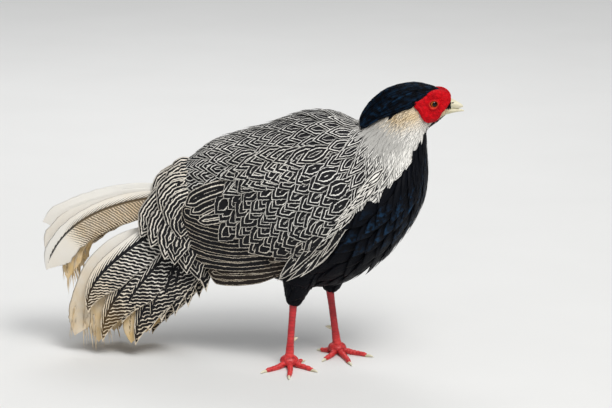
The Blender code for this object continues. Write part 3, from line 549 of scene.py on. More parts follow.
def run_length(lines):
    """The length of each line of points."""
    return per_vane(np.linalg.norm(np.diff(lines, axis=1), axis=2).sum(1))


def curve_at(controls, t):
    """Places on cubic curves: controls (curve, 4, 3), shares t."""
    t, q = t[None, :, None], 1 - t[None, :, None]
    p = controls[:, :, None]
    return q**3 * p[:, 0] + 3 * q * q * t * p[:, 1] + 3 * q * t * t * p[:, 2] + t**3 * p[:, 3]


def vane_grid(number, rows, columns, tip_from, power, quill, rag, draw):
    """Shares along and across each vane, and its half width there as a share of its widest."""
    tip_rows = rows // 2 + 1
    u = np.linspace(0, 1, tip_rows)
    shaft = np.linspace(0, tip_from, rows - tip_rows, endpoint=False)
    t = np.concatenate([shaft, tip_from + (1 - tip_from) * u**0.85])
    c = np.linspace(-1, 1, columns)
    width = np.repeat(outline(t, tip_from, power, quill)[None, :, None], number, 0)
    ragged = 1 + draw.uniform(-rag, rag, (number, rows, 2)) * ramp(t, 0.3, 0.7)[None, :, None]
    width = width * np.where(c[None, None] < 0, ragged[..., :1], ragged[..., 1:])
    return t[None, :, None], c[None, None], width


def add_vanes(coat, top, normal, thick, paint, grid, length, half, b, cell):
    """Adds vanes with their marks: paint is told how each point lies on its vane, in shares and in metres."""
    t, c, width = grid
    lie = {"t": t, "c": c, "a": t * length, "b": b, "half": half, "edge": half * width * (1 - np.abs(c))}
    marks = paint(lie)
    marks["along"], marks["across"] = lie["a"] / UV_UNIT, b / UV_UNIT
    return coat.add(top, normal, thick[..., None], marks, cell, t, c)


def lay_vanes(
    coat, ground, root, ahead, length, half, cell, draw, paint, rows, columns, tip_from, power, rise,
    quill=0.4, rag=0.04, base=0.0003, camber=0.10, roll=0.0, yaw=0.0, yaw_spread=0.07, drape=None,
):
    """Lays vanes on a ground from their roots. Each rises from root to tip, so that it lies over the next."""
    number = len(root)
    _, out = ground.at(root)
    ahead = square_to(ahead, out)
    turn = (yaw + draw.normal(0, yaw_spread, number))[:, None]
    side = np.cross(out, ahead)
    ahead, side = ahead * np.cos(turn) + side * np.sin(turn), side * np.cos(turn) - ahead * np.sin(turn)
    t, c, width = grid = vane_grid(number, rows, columns, tip_from, power, quill, rag, draw)
    length = per_vane(length * draw.uniform(*LENGTH_STRAY, number))
    half = per_vane(half)
    a = t * length
    b = c * width * half
    bow = b + per_vane(draw.normal(0, BOW_STRAY, number)) * a * t
    flat = root[:, None, None] + ahead[:, None, None] * a[..., None] + side[:, None, None] * bow[..., None]
    place, normal = ground.at(flat)
    base = per_vane(base) + per_vane(draw.uniform(-HEIGHT_STRAY, HEIGHT_STRAY, number))
    lean = per_vane(roll + draw.normal(0, LEAN_STRAY, number))
    height = base + per_vane(rise) * (1 - (1 - t) ** RISE_POWER) + lean * b - camber * half * (c * width) ** 2
    top = place + normal * height[..., None]
    if drape is not None:
        top = drape(top, height)
    return add_vanes(coat, top, normal, VANE_THICK * (1 - 0.5 * t), paint, grid, length, half, b, cell)


# The bare face, in side view from the eye: (degrees, reach)

EYE = np.array([0.155, 0.0136, 0.3365])
EYE_RADIUS, EYE_SHARE = 0.0052, 0.985
FACE_LOBES = (
    (-180, 0.0268), (-165, 0.0215), (-147, 0.0198), (-123, 0.0235), (-107, 0.0255), (-86, 0.0235),
    (-66, 0.0186), (-48, 0.0146), (-6, 0.0172), (8, 0.0214), (26, 0.0222), (49, 0.0206),
    (75, 0.0174), (101, 0.0156), (135, 0.0164), (163, 0.0206),
)


def face_radius(turn):
    """How far the bare face reaches from the eye in that direction, with rounded lobes."""
    angles = np.radians([a for a, _ in FACE_LOBES])
    reaches = np.array([r for _, r in FACE_LOBES])
    spread = np.linspace(-0.16, 0.16, 7)
    return np.mean([np.interp(turn + d, angles, reaches, period=2 * math.pi) for d in spread], axis=0)


def inside_face(points):
    """How far inside the bare face's rim the points lie, in side view."""
    offset = points[..., [0, 2]] - EYE[[0, 2]]
    return face_radius(np.arctan2(offset[..., 1], offset[..., 0])) - np.linalg.norm(offset, axis=-1)


# The folded wing's surface

WING_X, WING_Z, WING_Y = 0.010, 0.200, 0.0760
WING_BEND_X, WING_BEND_Z = 1.16, 1.80
WING_BED = 0.0035
WING_FRONT = np.array(((-0.010, 0.276), (0.030, 0.272), (0.056, 0.256), (0.068, 0.232), (0.060, 0.204),
                       (0.040, 0.176), (0.016, 0.148), (-0.010, 0.130)))
WING_TOP = np.array(((-0.158, 0.214), (-0.120, 0.240), (-0.070, 0.264), (-0.010, 0.276), (0.030, 0.272)))
WING_REAR = np.array(((-0.149, 0.206), (-0.154, 0.187), (-0.150, 0.170), (-0.142, 0.153), (-0.132, 0.137),
                      (-0.119, 0.122), (-0.098, 0.112), (-0.070, 0.108), (-0.044, 0.114), (-0.020, 0.124)))
WING_X_RANGE, WING_Z_RANGE, WING_CELL = (-0.190, 0.090), (0.080, 0.290), 0.0025
WING_FRONT_BLEND, WING_TOP_BLEND = 0.034, 0.026
# How far inside the wing's front and top the body's feathers may root
WING_HOLD = 0.024
# Stands for a place where a ray misses the body
NO_BODY = -1.0


def around_each(values):
    """The sum of each grid value's four neighbours."""
    padded = np.pad(values, 1, mode="edge")
    return padded[:-2, 1:-1] + padded[2:, 1:-1] + padded[1:-1, :-2] + padded[1:-1, 2:]


class WingBed:
    """The surface that one folded wing's feathers lie on: a dome that meets the body at its front and top."""

    def __init__(self, side, skin_ground):
        self.side = side
        xs = np.arange(*WING_X_RANGE, WING_CELL)
        zs = np.arange(*WING_Z_RANGE, WING_CELL)
        x, z = np.meshgrid(xs, zs, indexing="ij")
        dome = WING_Y - WING_BEND_X * (x - WING_X) ** 2 - WING_BEND_Z * (z - WING_Z) ** 2 - WING_BED
        body = np.full(x.shape, NO_BODY)
        for index in np.ndindex(x.shape):
            origin = Vector((x[index], side * 0.3, z[index]))
            hit = skin_ground.tree.ray_cast(origin, Vector((0, -side, 0)), 0.3)
            if hit[0] is not None:
                body[index] = side * hit[0][1]
        place = np.stack([x, z], -1)
        front, top = beside_line(WING_FRONT, place), beside_line(WING_TOP, place)
        blend = ramp(front, 0.0, WING_FRONT_BLEND) * ramp(top, 0.0, WING_TOP_BLEND)
        height = np.where(body > NO_BODY, body + np.maximum(dome - body, 0) * blend, dome)
        for _ in range(5):
            height = around_each(height) / 4
        self.height = height
        points = np.stack([x, side * height, z], -1)
        # The faces are wound inwards, so the normals are turned round
        self.ground = Ground(points.reshape(-1, 3), ring_faces(len(xs), len(zs), closed=False)[:, ::-side])
        self.ground.normals *= -1

    def y_at(self, x, z):
        rows, columns = self.height.shape
        i, j = (x - WING_X_RANGE[0]) / WING_CELL, (z - WING_Z_RANGE[0]) / WING_CELL
        return sample(self.height, np.clip(i, 0, rows - 1), np.clip(j, 0, columns - 1))

    def point(self, x, z):
        """A place on the bed."""
        return np.stack([x, self.side * self.y_at(x, z), z], -1)


def over_wings(beds, roots):
    """A drape that keeps the body's feathers outside the wings that they reach from above or in front."""
    from_above = (inside_wing(roots) < WING_HOLD)[:, None, None]

    def drape(top, height):
        placed = top.copy()
        for bed in beds:
            x, z = top[..., 0], top[..., 2]
            near = (inside_wing(top) > 0) & (top[..., 1] * bed.side > 0) & from_above
            y = np.maximum(np.abs(top[..., 1]), bed.y_at(x, z) + height)
            placed[..., 1] = np.where(near, bed.side * y, placed[..., 1])
        return placed

    return drape


def inside_wing(points):
    """How far behind the wing's front and below its top the points lie, in side view."""
    place = points[..., [0, 2]]
    return np.minimum(beside_line(WING_FRONT, place), beside_line(WING_TOP, place))


# Markings: how the lines on a vane run, how dark and how stained it is


def lined(period, ink, stain=0.0, tone=0.0, wave=0.0):
    """Lines along the vane's own rim, one inside another, with a pale rim."""

    def paint(lie):
        inward = lie["edge"] / per_vane(period)
        ripple = wave * np.sin(lie["a"] / 0.0017 + 3 * lie["c"]) * ramp(lie["edge"], 0.0, 0.004)
        return {
            "phase": inward - 0.12 + ripple,
            "ink": per_vane(ink) + 0.12 * ramp(inward, 1.2, 2.0),
            "stain": per_vane(stain),
            "tone": per_vane(tone),
        }

    return paint


def plain_dark(painted_blue_sheen):
    """Black vanes, some with a painted steel-blue sheen at the tip."""

    def paint(lie):
        middle = 1 - ramp(np.abs(lie["c"]), 0.5, 1.0)
        return {"painted_blue_sheen": per_vane(painted_blue_sheen) * ramp(lie["t"], 0.45, 0.8) * middle}

    return paint


# Body plumage

# Feathers by station, from tail to bill: the rows' distances, with the gaps and lengths as multiples of them
STEP_AT = (0.0, 2.0, 4.0, 6.5, 9.0, 10.0, 11.0, 12.0, 13.5, 15.0, 18.6)
STEPS = (0.0120, 0.0132, 0.0145, 0.0155, 0.0148, 0.0136, 0.0115, 0.0082, 0.0050, 0.0036, 0.0022)
GAP_SHARES = (1.00, 1.10, 1.20, 1.25, 1.15, 0.85, 0.60, 0.55, 0.60, 0.65, 0.70)
LENGTH_SHARES = (2.6, 2.6, 2.6, 2.6, 2.6, 3.0, 3.5, 3.5, 3.0, 2.6, 2.4)
# The stations at which one piece of plumage ends and the next begins
MANTLE_FROM, BREAST_FROM, NECK_FROM, HEAD_FROM = 4.6, 7.5, 9.6, 12.6


def body_tract(draw):
    """Roots in rows over the whole body, from bill to tail, with their ways, stations and cells."""
    s = np.linspace(18.6, 0.6, 220)
    turns = np.linspace(0, 2 * math.pi, 121)
    grid = body_point(s[:, None], turns[None], -coat_depth(s)[:, None])
    step = np.repeat(np.interp(s, STEP_AT, STEPS)[:, None], len(turns), 1)
    i, j, cell = lay_rows(grid, step, step * np.interp(s, STEP_AT, GAP_SHARES)[:, None], draw)
    return *roots_on(grid, i, j), np.interp(i, np.arange(len(s)), s), cell


def hidden_by_wing(root):
    """True where a folded wing covers the root and its whole feather."""
    x, y, z = root.T
    from_rear = beside_line(WING_REAR[::-1], root[:, [0, 2]])
    low_edge = (inside_wing(root) > -0.006) & (z < 0.165) & (x > -0.070)
    return (np.abs(y) > 0.025) & ((inside_wing(root) > WING_HOLD) & (from_rear > 0.026) | low_edge)


def make_body_plumage(ground, beds, pale, dark):
    draw = np.random.default_rng(41)
    root, ahead, s, cell = body_tract(draw)
    x, y, z = root.T
    under = under_side(root) + draw.normal(0, 0.0012, len(root))
    bare = (inside_face(root) > 0.0012) & (s > 12.5) & (np.abs(y) > 0.004)
    crown = (s > 10.5) & (beside_line(CREST_LOW, root[:, [0, 2]]) > 0.0015) & (x > 0.104)
    crown |= (x > 0.156) & (np.abs(y) < 0.0105) & (z > 0.3300)
    shown = ~bare & ~hidden_by_wing(root)
    white = shown & (under < 0) & ~crown
    black = shown & ((under >= 0) | crown)
    step = np.interp(s, STEP_AT, STEPS)
    length = step * np.interp(s, STEP_AT, LENGTH_SHARES)
    half = step * np.interp(s, STEP_AT, GAP_SHARES) * 0.62
    rise = coat_depth(s) * (0.95 - 0.40 * ramp(s, 9.5, 12.0))

    # White feathers turn to run along the border beside it, and end before they reach over it
    beside = 0.85 * (1 - ramp(-under, 0.006, 0.040)) * (under < 0) * ramp(x, 0.030, 0.060) * (s < 13.5)
    border_x, border_z = way_along(BORDER, root[:, [0, 2]]).T
    border_way = np.stack([border_x, 0.4 * ahead[:, 1], border_z], -1)
    ahead = unit(between(ahead, border_way, beside[:, None]))
    for _ in range(6):
        over = (under < 0) & (under_side(root + ahead * length[:, None]) > 0.0010)
        length = np.where(over, length * 0.86, length)

    groups = (
        ("head_plumage", white & (s >= HEAD_FROM), 8, 5, 0.40),
        ("neck_plumage", white & (s >= NECK_FROM) & (s < HEAD_FROM), 13, 9, 0.38),
        ("mantle_plumage", white & (s >= MANTLE_FROM) & (s < NECK_FROM), 19, 13, 0.52),
        ("rump_plumage", white & (s < MANTLE_FROM), 19, 13, 0.52),
    )
    neck_share = ramp(s, 9.8, 12.4)
    period = np.interp(s, (3.0, 6.5, 9.0, 10.5, 12.0), (0.0042, 0.0043, 0.0036, 0.0027, 0.0020))
    border_fade = (1 - ramp(-under, 0.003, 0.020)) * ramp(x, 0.045, 0.075)
    ink = (0.78 - 0.08 * ramp(s, 7.0, 9.5) - 0.22 * neck_share) * (1 - 0.50 * border_fade)
    ink = np.where(s < MANTLE_FROM, 0.74, ink)
    tone = 0.70 * neck_share
    # Pale cheeks; behind the face, darker streaks and a tan stain that grow towards the crest, partly their own
    # colour and partly painted shade under it; then fine grey lines with painted crest shadow down the back of
    # the neck
    cheek = ramp(s, 12.0, 13.2)
    # Darker lines behind the face towards the crest: partly streaks, partly painted shade under the crest
    streaks_and_crest_shade = cheek * ramp(-x, -0.136, -0.118) * ramp(z, 0.304, 0.320)
    ink = between(ink, 0.20 + 0.34 * streaks_and_crest_shade, cheek)
    tone = between(tone, 0.55 - 0.20 * streaks_and_crest_shade, cheek)
    # A tan stain that grows towards the crest: partly the cheek's own tan, partly painted shade under the crest
    tan_and_crest_shade = cheek * ramp(z, 0.306, 0.326) * 0.75
    # Grey over the lines below the crest: fine grey lines and painted shadow of the crest
    lines_and_crest_shade = ramp(z, 0.288, 0.304) * ramp(s, 10.2, 11.4) * (1 - cheek)
    ink = between(ink, 1.05, lines_and_crest_shade)
    tone = between(tone, 0.82, lines_and_crest_shade)
    turn = -0.20 * np.clip(y / 0.03, -1, 1) * ramp(s, 3.5, 6.0) * (1 - neck_share)
    for name, chosen, rows, columns, tip_from in groups:
        at = np.flatnonzero(chosen)
        paint = lined(period[at], ink[at], tan_and_crest_shade[at], tone[at], wave=0.16 if "rump" in name else 0.05)
        drape = over_wings(beds, root[at]) if name in ("mantle_plumage", "rump_plumage") else None
        coat = lay_vanes(
            Coat(), ground, root[at], ahead[at], length[at], half[at], cell[at], draw, paint, rows=rows,
            columns=columns, tip_from=tip_from, power=1.12, rise=rise[at], yaw=turn[at], yaw_spread=0.06,
            camber=0.06, quill=0.6, drape=drape,
        )
        dress(coat.build(name, pale))

    # Where the black feathers below the border get a painted steel-blue sheen
    sheen_region = ramp(under, 0.004, 0.016) * (1 - ramp(under, 0.034, 0.060)) * ramp(z, 0.165, 0.200)
    painted_blue_sheen = sheen_region * draw.uniform(0.0, 1.0, len(root)) ** 1.1
    parts = (
        ("crown_plumage", black & crown, 6, 3),
        ("breast_plumage", black & ~crown & (s >= BREAST_FROM), 9, 7),
        ("belly_plumage", black & ~crown & (s < BREAST_FROM), 9, 7),
    )
    length = length * np.where(crown, 0.6, 1.05)
    rise = rise * np.where(s > 8.2, 1.6, 0.8)
    for name, chosen, rows, columns in parts:
        at = np.flatnonzero(chosen)
        coat = lay_vanes(
            Coat(), ground, root[at], ahead[at], length[at], half[at] * 0.95, cell[at], draw,
            plain_dark(painted_blue_sheen[at]), rows=rows, columns=columns, tip_from=0.45, power=1.5, rise=rise[at],
            rag=0.06, yaw_spread=0.08, camber=0.04,
        )
        dress(coat.build(name, dark))


# Wing plumage


def along(line, share):
    """Places at shares of a line's length."""
    reach = np.concatenate([[0], np.cumsum(np.linalg.norm(np.diff(line, axis=0), axis=1))])
    return np.stack([np.interp(share * reach[-1], reach, values) for values in np.transpose(line)], -1)


COVERT_FRONT = ((-0.060, 0.262), (-0.020, 0.270), (0.020, 0.272), (0.046, 0.264), (0.062, 0.246),
                (0.066, 0.226), (0.060, 0.206), (0.047, 0.188), (0.032, 0.172))
COVERT_REAR = ((-0.085, 0.2275), (-0.081, 0.210), (-0.078, 0.192), (-0.071, 0.185), (-0.060, 0.1800),
               (-0.050, 0.1745), (-0.032, 0.1690), (-0.016, 0.1660), (0.000, 0.1600), (0.016, 0.1560))
SCAPULAR_ROOTS = ((0.034, 0.280), (-0.070, 0.262))

# Flight feathers and flank plumes as curves in side view, from root to tip, the upper ones over the lower
PRIMARIES = (
    (-0.0120, 0.1400, -0.0512, 0.1405, -0.0803, 0.1385, -0.1034, 0.1316),
    (-0.0120, 0.1350, -0.0564, 0.1322, -0.0858, 0.1286, -0.1140, 0.1240),
    (-0.0120, 0.1310, -0.0668, 0.1216, -0.0965, 0.1163, -0.1225, 0.1180),
    (-0.0140, 0.1300, -0.0680, 0.1130, -0.0972, 0.1065, -0.1190, 0.1120),
)
SECONDARIES = (
    (-0.060, 0.1900, -0.1000, 0.1840, -0.1340, 0.1890, -0.1540, 0.1990),
    (-0.056, 0.1780, -0.1020, 0.1730, -0.1350, 0.1780, -0.1545, 0.1905),
    (-0.050, 0.1660, -0.1020, 0.1620, -0.1350, 0.1670, -0.1548, 0.1800),
    (-0.044, 0.1560, -0.0980, 0.1520, -0.1330, 0.1560, -0.1535, 0.1690),
    (-0.040, 0.1490, -0.0930, 0.1440, -0.1290, 0.1450, -0.1515, 0.1580),
    (-0.038, 0.1430, -0.0880, 0.1380, -0.1240, 0.1355, -0.1480, 0.1475),
    (-0.036, 0.1390, -0.0840, 0.1330, -0.1180, 0.1300, -0.1430, 0.1370),
)
TERTIALS = (
    (-0.080, 0.2360, -0.1080, 0.2290, -0.1330, 0.2180, -0.1500, 0.2020),
    (-0.070, 0.2280, -0.1000, 0.2200, -0.1260, 0.2080, -0.1420, 0.1930),
    (-0.066, 0.2180, -0.0950, 0.2120, -0.1150, 0.2060, -0.1290, 0.1895),
    (-0.060, 0.2040, -0.0950, 0.1960, -0.1150, 0.1880, -0.1310, 0.1865),
)
FLANK_PLUMES = (
    (0.0240, 0.1640, 0.0060, 0.1450, -0.0140, 0.1270, -0.0330, 0.1113),
    (0.0130, 0.1640, -0.0040, 0.1490, -0.0180, 0.1340, -0.0272, 0.1180),
    (0.0360, 0.1600, 0.0200, 0.1450, 0.0010, 0.1290, -0.0185, 0.1145),
    (0.0460, 0.1730, 0.0330, 0.1530, 0.0170, 0.1360, 0.0000, 0.1220),
    (0.0540, 0.1880, 0.0440, 0.1680, 0.0300, 0.1480, 0.0140, 0.1310),
    (0.0640, 0.2040, 0.0540, 0.1860, 0.0420, 0.1660, 0.0270, 0.1480),
    (0.0300, 0.1760, 0.0150, 0.1600, 0.0000, 0.1430, -0.0130, 0.1270),
)
BORDER_PLUMES = ((0.118, 0.272), (0.106, 0.250), (0.092, 0.229), (0.078, 0.212), (0.064, 0.196))


def lay_along(coat, bed, curves, half, band, draw, paint, rows, columns, tip_from, power, base, rise, roll):
    """Feathers of the wing along curves in side view."""
    number = len(curves)
    t, c, width = grid = vane_grid(number, rows, columns, tip_from, power, 0.6, 0.02, draw)
    controls = np.insert(np.array(curves, float).reshape(number, 4, 2), 1, 0.0, -1)
    spine = curve_at(controls, t[0, :, 0])[..., [0, 2]]
    ahead = unit(np.gradient(spine, axis=1))
    lower = np.stack([-ahead[..., 1], ahead[..., 0]], -1) * -bed.side
    half = per_vane(half)
    b = c * width * half
    place = spine[:, :, None] + lower[:, :, None] * b[..., None]
    height = per_vane(base) + rise * (1 - (1 - t) ** RISE_POWER) - bed.side * roll * b
    height = height - 0.10 * half * (c * width) ** 2
    x, z = place[..., 0], place[..., 1]
    top = np.stack([x, bed.side * (bed.y_at(x, z) + height), z], -1)
    normal = np.broadcast_to((0.0, bed.side, 0.0), top.shape)
    add_vanes(coat, top, normal, VANE_THICK * (1 - 0.5 * t), paint, grid, run_length(spine), half, b,
              patches(number, band, 0.028))


def make_wing_plumage(ground, bed, side_name, pale):
    """Coverts in rows, then the flight feathers that come out from under them, then the scapulars above."""
    side = bed.side
    draw = np.random.default_rng(50 + side)
    flight = Coat()
    style = {"rows": 26, "columns": 15, "power": 1.9, "rise": 0.0022, "roll": 0.08}
    # Primaries and secondaries: heavy ink and a warm stain, partly their own dark barring and partly painted
    # shade low on the wing
    lay_along(flight, bed, PRIMARIES, 0.0092, 0.05, draw, lined(0.0062, 0.90, 0.50, wave=0.06),
              tip_from=0.86, base=np.linspace(0.0002, -0.0016, 4), **style)
    lay_along(flight, bed, SECONDARIES, 0.0108, 0.15, draw, lined(0.0058, 0.89, 0.42, wave=0.07),
              tip_from=0.86, base=np.linspace(0.0038, 0.0010, 7), **style)
    lay_along(flight, bed, TERTIALS, (0.0100, 0.0095, 0.0085, 0.0066), 0.25, draw,
              lined(0.0048, (0.76, 0.77, 0.78, 0.76), 0.25), tip_from=0.76,
              base=(0.0052, 0.0048, 0.0044, 0.0056), **style)
    dress(flight.build(f"flight_feathers_{side_name}", pale), [f"wing_{side_name}"])

    share = np.linspace(0, 1, 60)
    flat = between(along(COVERT_FRONT, share)[None], along(COVERT_REAR, share)[None], share[:, None, None])
    grid = bed.point(flat[..., 0], flat[..., 1])
    step = np.repeat(np.interp(share, (0, 0.3, 1), (0.0105, 0.0118, 0.0124))[:, None], len(share), 1)
    i, j, cell = lay_rows(grid, step, step * 1.72, draw, closed=False)
    root, ahead = roots_on(grid, i, j)
    step_at = sample(step, i, j)
    cell = cell * (0.45, 1, 0.45, 1) + (0.30, 0, 0, 0)
    # The lower and rear coverts get more ink, wider lines and a warm stain: darker and warmer towards the
    # bottom and rear of the wing, partly their own tone and partly painted shade
    low = ramp(-root[:, 2], -0.215, -0.150)
    rear_share = ramp(-root[:, 0], -0.03, 0.08)
    ink = 0.80 + 0.07 * np.maximum(low, rear_share)
    period = 0.0053 + 0.0012 * np.maximum(low, rear_share)
    turn = side * 0.30 * ramp(root[:, 2], 0.232, 0.262)
    coverts = lay_vanes(
        Coat(), bed.ground, root, ahead, step_at * 2.9, step_at * 1.04, cell, draw,
        lined(period, ink, 0.26 * low + 0.12 * rear_share, wave=0.06), rows=21, columns=15, tip_from=0.58,
        power=1.15, base=0.0040, rise=0.0040, yaw=turn, yaw_spread=0.06, rag=0.03, quill=0.6, camber=0.06,
    )
    dress(coverts.build(f"wing_coverts_{side_name}", pale))

    rows = []
    each = 8
    for drop, shift in ((-0.004, 0.0), (0.008, 0.675), (0.020, 0.05)):
        rows.append(along(SCAPULAR_ROOTS, (np.arange(each) + shift) / 8.5) - (0.1 * drop, drop))
    root = bed.point(*np.vstack(rows).T)
    scapulars = lay_vanes(
        Coat(), bed.ground, root, unit((-0.93, 0.0, -0.37)), np.full(len(root), 0.046), 0.0118,
        np.vstack([patches(each, band, 0.028, 0.40) for band in (0.80, 0.87, 0.94)]), draw,
        lined(0.0047, 0.78, 0.06), rows=20, columns=15, tip_from=0.54, power=1.12, base=0.0040, rise=0.0040,
        roll=-0.06 * side, rag=0.03, yaw_spread=0.09,
    )
    dress(scapulars.build(f"scapulars_{side_name}", pale))

    plumes = Coat()
    lay_along(plumes, bed, FLANK_PLUMES, (0.0056, 0.0050, 0.0056, 0.0056, 0.0052, 0.0046, 0.0052), 0.30, draw,
              lined(0.0046, 0.82, 0.14), rows=22, columns=13, tip_from=0.45, power=1.15,
              base=(0.0064, 0.0068, 0.0060, 0.0056, 0.0052, 0.0050, 0.0074), rise=0.0030, roll=0.0)
    number = 26
    cell = patches(number, 0.60, 0.008, 0.39)
    flat = along(BORDER_PLUMES, cell[:, 1]) + draw.uniform(-0.002, 0.002, (number, 2)) - (0.003, 0.0)
    root, _ = ground.at(np.stack([flat[:, 0], np.full(number, side * 0.09), flat[:, 1]], -1))
    lay_vanes(
        plumes, ground, root, unit((-0.72, side * 0.10, -0.69)), draw.uniform(0.030, 0.040, number), 0.0042,
        cell, draw, lined(0.0032, np.linspace(0.45, 0.66, number), 0.05), rows=17, columns=9, tip_from=0.40,
        power=1.2, base=0.0052, rise=0.0030, yaw_spread=0.08, rag=0.03,
    )
    dress(plumes.build(f"flank_plumes_{side_name}", pale))


# Thighs


def make_thigh_plumage(ground, dark):
    share = np.linspace(0.86, 0.03, 60)
    for name, leg in LEGS.items():
        draw = np.random.default_rng(60 + leg["side"])
        grid = limb_rings(thigh_line(leg, share), thigh_radius(share), 36)
        grid = np.concatenate([grid, grid[:, :1]], 1)
        step = np.repeat(np.interp(share, (0, 0.3, 1), (0.0045, 0.0070, 0.0095))[:, None], 37, 1)
        i, j, cell = lay_rows(grid, step, step * 0.72, draw)
        root, ahead = roots_on(grid, i, j)
        step_at = sample(step, i, j)
        coat = lay_vanes(
            Coat(), ground, root, ahead, step_at * 2.5, step_at * 0.56, cell, draw, plain_dark(0.0), rows=8,
            columns=5, tip_from=0.5, power=1.5, rise=0.0022, rag=0.08, yaw_spread=0.12,
        )
        dress(coat.build(f"thigh_plumage_{name}", dark))


# Tail

# Feathers of one side, the first group arching level from the rump, the second hanging like a curtain: the
# shaft's four control points (x, z), their four y, then width, ink, plainness of the upper web, stain and
# line spacing
TAIL_PLAIN = np.array((
    (-0.170, 0.212, -0.235, 0.2155, -0.296, 0.198, -0.3450, 0.164,
     0.004, 0.008, 0.012, 0.013, 0.032, 0.0, 1.0, 0.06, 0.0022),
    (-0.170, 0.208, -0.235, 0.207, -0.322, 0.190, -0.3400, 0.128,
     0.005, 0.010, 0.016, 0.018, 0.036, 0.0, 1.0, 0.15, 0.0022),
    (-0.170, 0.204, -0.240, 0.200, -0.322, 0.178, -0.312, 0.092,
     0.006, 0.013, 0.019, 0.020, 0.026, 0.30, 1.0, 0.70, 0.0022),
    (-0.170, 0.206, -0.235, 0.203, -0.320, 0.180, -0.3360, 0.106,
     0.008, 0.018, 0.028, 0.028, 0.038, 0.62, 1.0, 0.66, 0.0032),
    (-0.172, 0.166, -0.262, 0.152, -0.294, 0.108, -0.2985, 0.022,
     0.008, 0.026, 0.034, 0.032, 0.040, 0.0, 1.0, 0.45, 0.0034),
    (-0.170, 0.164, -0.240, 0.146, -0.278, 0.098, -0.2670, 0.0165,
     0.009, 0.028, 0.036, 0.034, 0.034, 0.0, 1.0, 0.60, 0.0034),
    (-0.160, 0.160, -0.190, 0.126, -0.234, 0.078, -0.2235, 0.0185,
     0.010, 0.030, 0.036, 0.034, 0.030, 0.2, 1.0, 0.75, 0.0034),
))
TAIL_LINED = np.array((
    (-0.165, 0.180, -0.215, 0.150, -0.285, 0.105, -0.2755, 0.058,
     0.010, 0.036, 0.050, 0.046, 0.044, 0.68, 0.90, 0.42, 0.0042),
    (-0.158, 0.174, -0.198, 0.127, -0.262, 0.079, -0.2610, 0.0205,
     0.010, 0.035, 0.047, 0.043, 0.042, 0.72, 0.50, 0.50, 0.0047),
    (-0.152, 0.170, -0.182, 0.122, -0.230, 0.088, -0.2330, 0.044,
     0.011, 0.034, 0.045, 0.041, 0.036, 0.75, 0.20, 0.36, 0.0048),
    (-0.150, 0.170, -0.168, 0.116, -0.217, 0.076, -0.2180, 0.0165,
     0.011, 0.033, 0.043, 0.040, 0.042, 0.78, 0.20, 0.36, 0.0050),
    (-0.149, 0.170, -0.163, 0.120, -0.198, 0.088, -0.1985, 0.034,
     0.012, 0.032, 0.041, 0.038, 0.036, 0.80, 0.10, 0.32, 0.0050),
    (-0.148, 0.170, -0.158, 0.125, -0.184, 0.096, -0.1830, 0.046,
     0.012, 0.031, 0.039, 0.036, 0.034, 0.82, 0.10, 0.30, 0.0050),
    (-0.146, 0.169, -0.153, 0.130, -0.172, 0.102, -0.1670, 0.0575,
     0.013, 0.030, 0.037, 0.034, 0.032, 0.82, 0.10, 0.28, 0.0050),
    (-0.144, 0.168, -0.148, 0.135, -0.160, 0.110, -0.1510, 0.067,
     0.013, 0.029, 0.035, 0.032, 0.030, 0.84, 0.10, 0.28, 0.0050),
    (-0.140, 0.165, -0.138, 0.142, -0.136, 0.118, -0.1280, 0.088,
     0.014, 0.027, 0.033, 0.030, 0.026, 0.84, 0.10, 0.25, 0.0050),
))
SHAFT_AT = 0.40
BLADE_RIDGE, BLADE_LEAN = 0.10, 0.15
# The plain feathers that end frayed
FRAYED = [2, 2, 4, 4, 5]
# Tail coverts of one side: root x, y, z, tip x, y, z, half width, lean in degrees, line spacing, ink
TAIL_COVERTS = np.array(
    (
        (-0.150, 0.004, 0.2430, -0.1960, 0.006, 0.2160, 0.0150, 72, 0.0058, 0.60),
        (-0.150, 0.012, 0.2380, -0.1990, 0.016, 0.2080, 0.0160, 52, 0.0058, 0.60),
        (-0.152, 0.022, 0.2320, -0.2030, 0.030, 0.1800, 0.0165, 30, 0.0044, 0.58),
        (-0.154, 0.024, 0.2280, -0.2080, 0.035, 0.1555, 0.0185, 14, 0.0042, 0.58),
        (-0.148, 0.026, 0.2180, -0.1940, 0.042, 0.1470, 0.0170, 6, 0.0046, 0.64),
        (-0.145, 0.028, 0.2080, -0.1775, 0.048, 0.1340, 0.0170, 0, 0.0052, 0.70),
        (-0.144, 0.028, 0.1940, -0.1620, 0.052, 0.1240, 0.0160, -3, 0.0050, 0.76),
        (-0.142, 0.026, 0.1840, -0.1460, 0.050, 0.1160, 0.0150, -8, 0.0050, 0.78),
        (-0.140, 0.020, 0.1720, -0.1330, 0.044, 0.1060, 0.0140, -15, 0.0050, 0.80),
        (-0.138, 0.010, 0.1640, -0.1300, 0.030, 0.1000, 0.0130, -35, 0.0050, 0.80),
    )
)


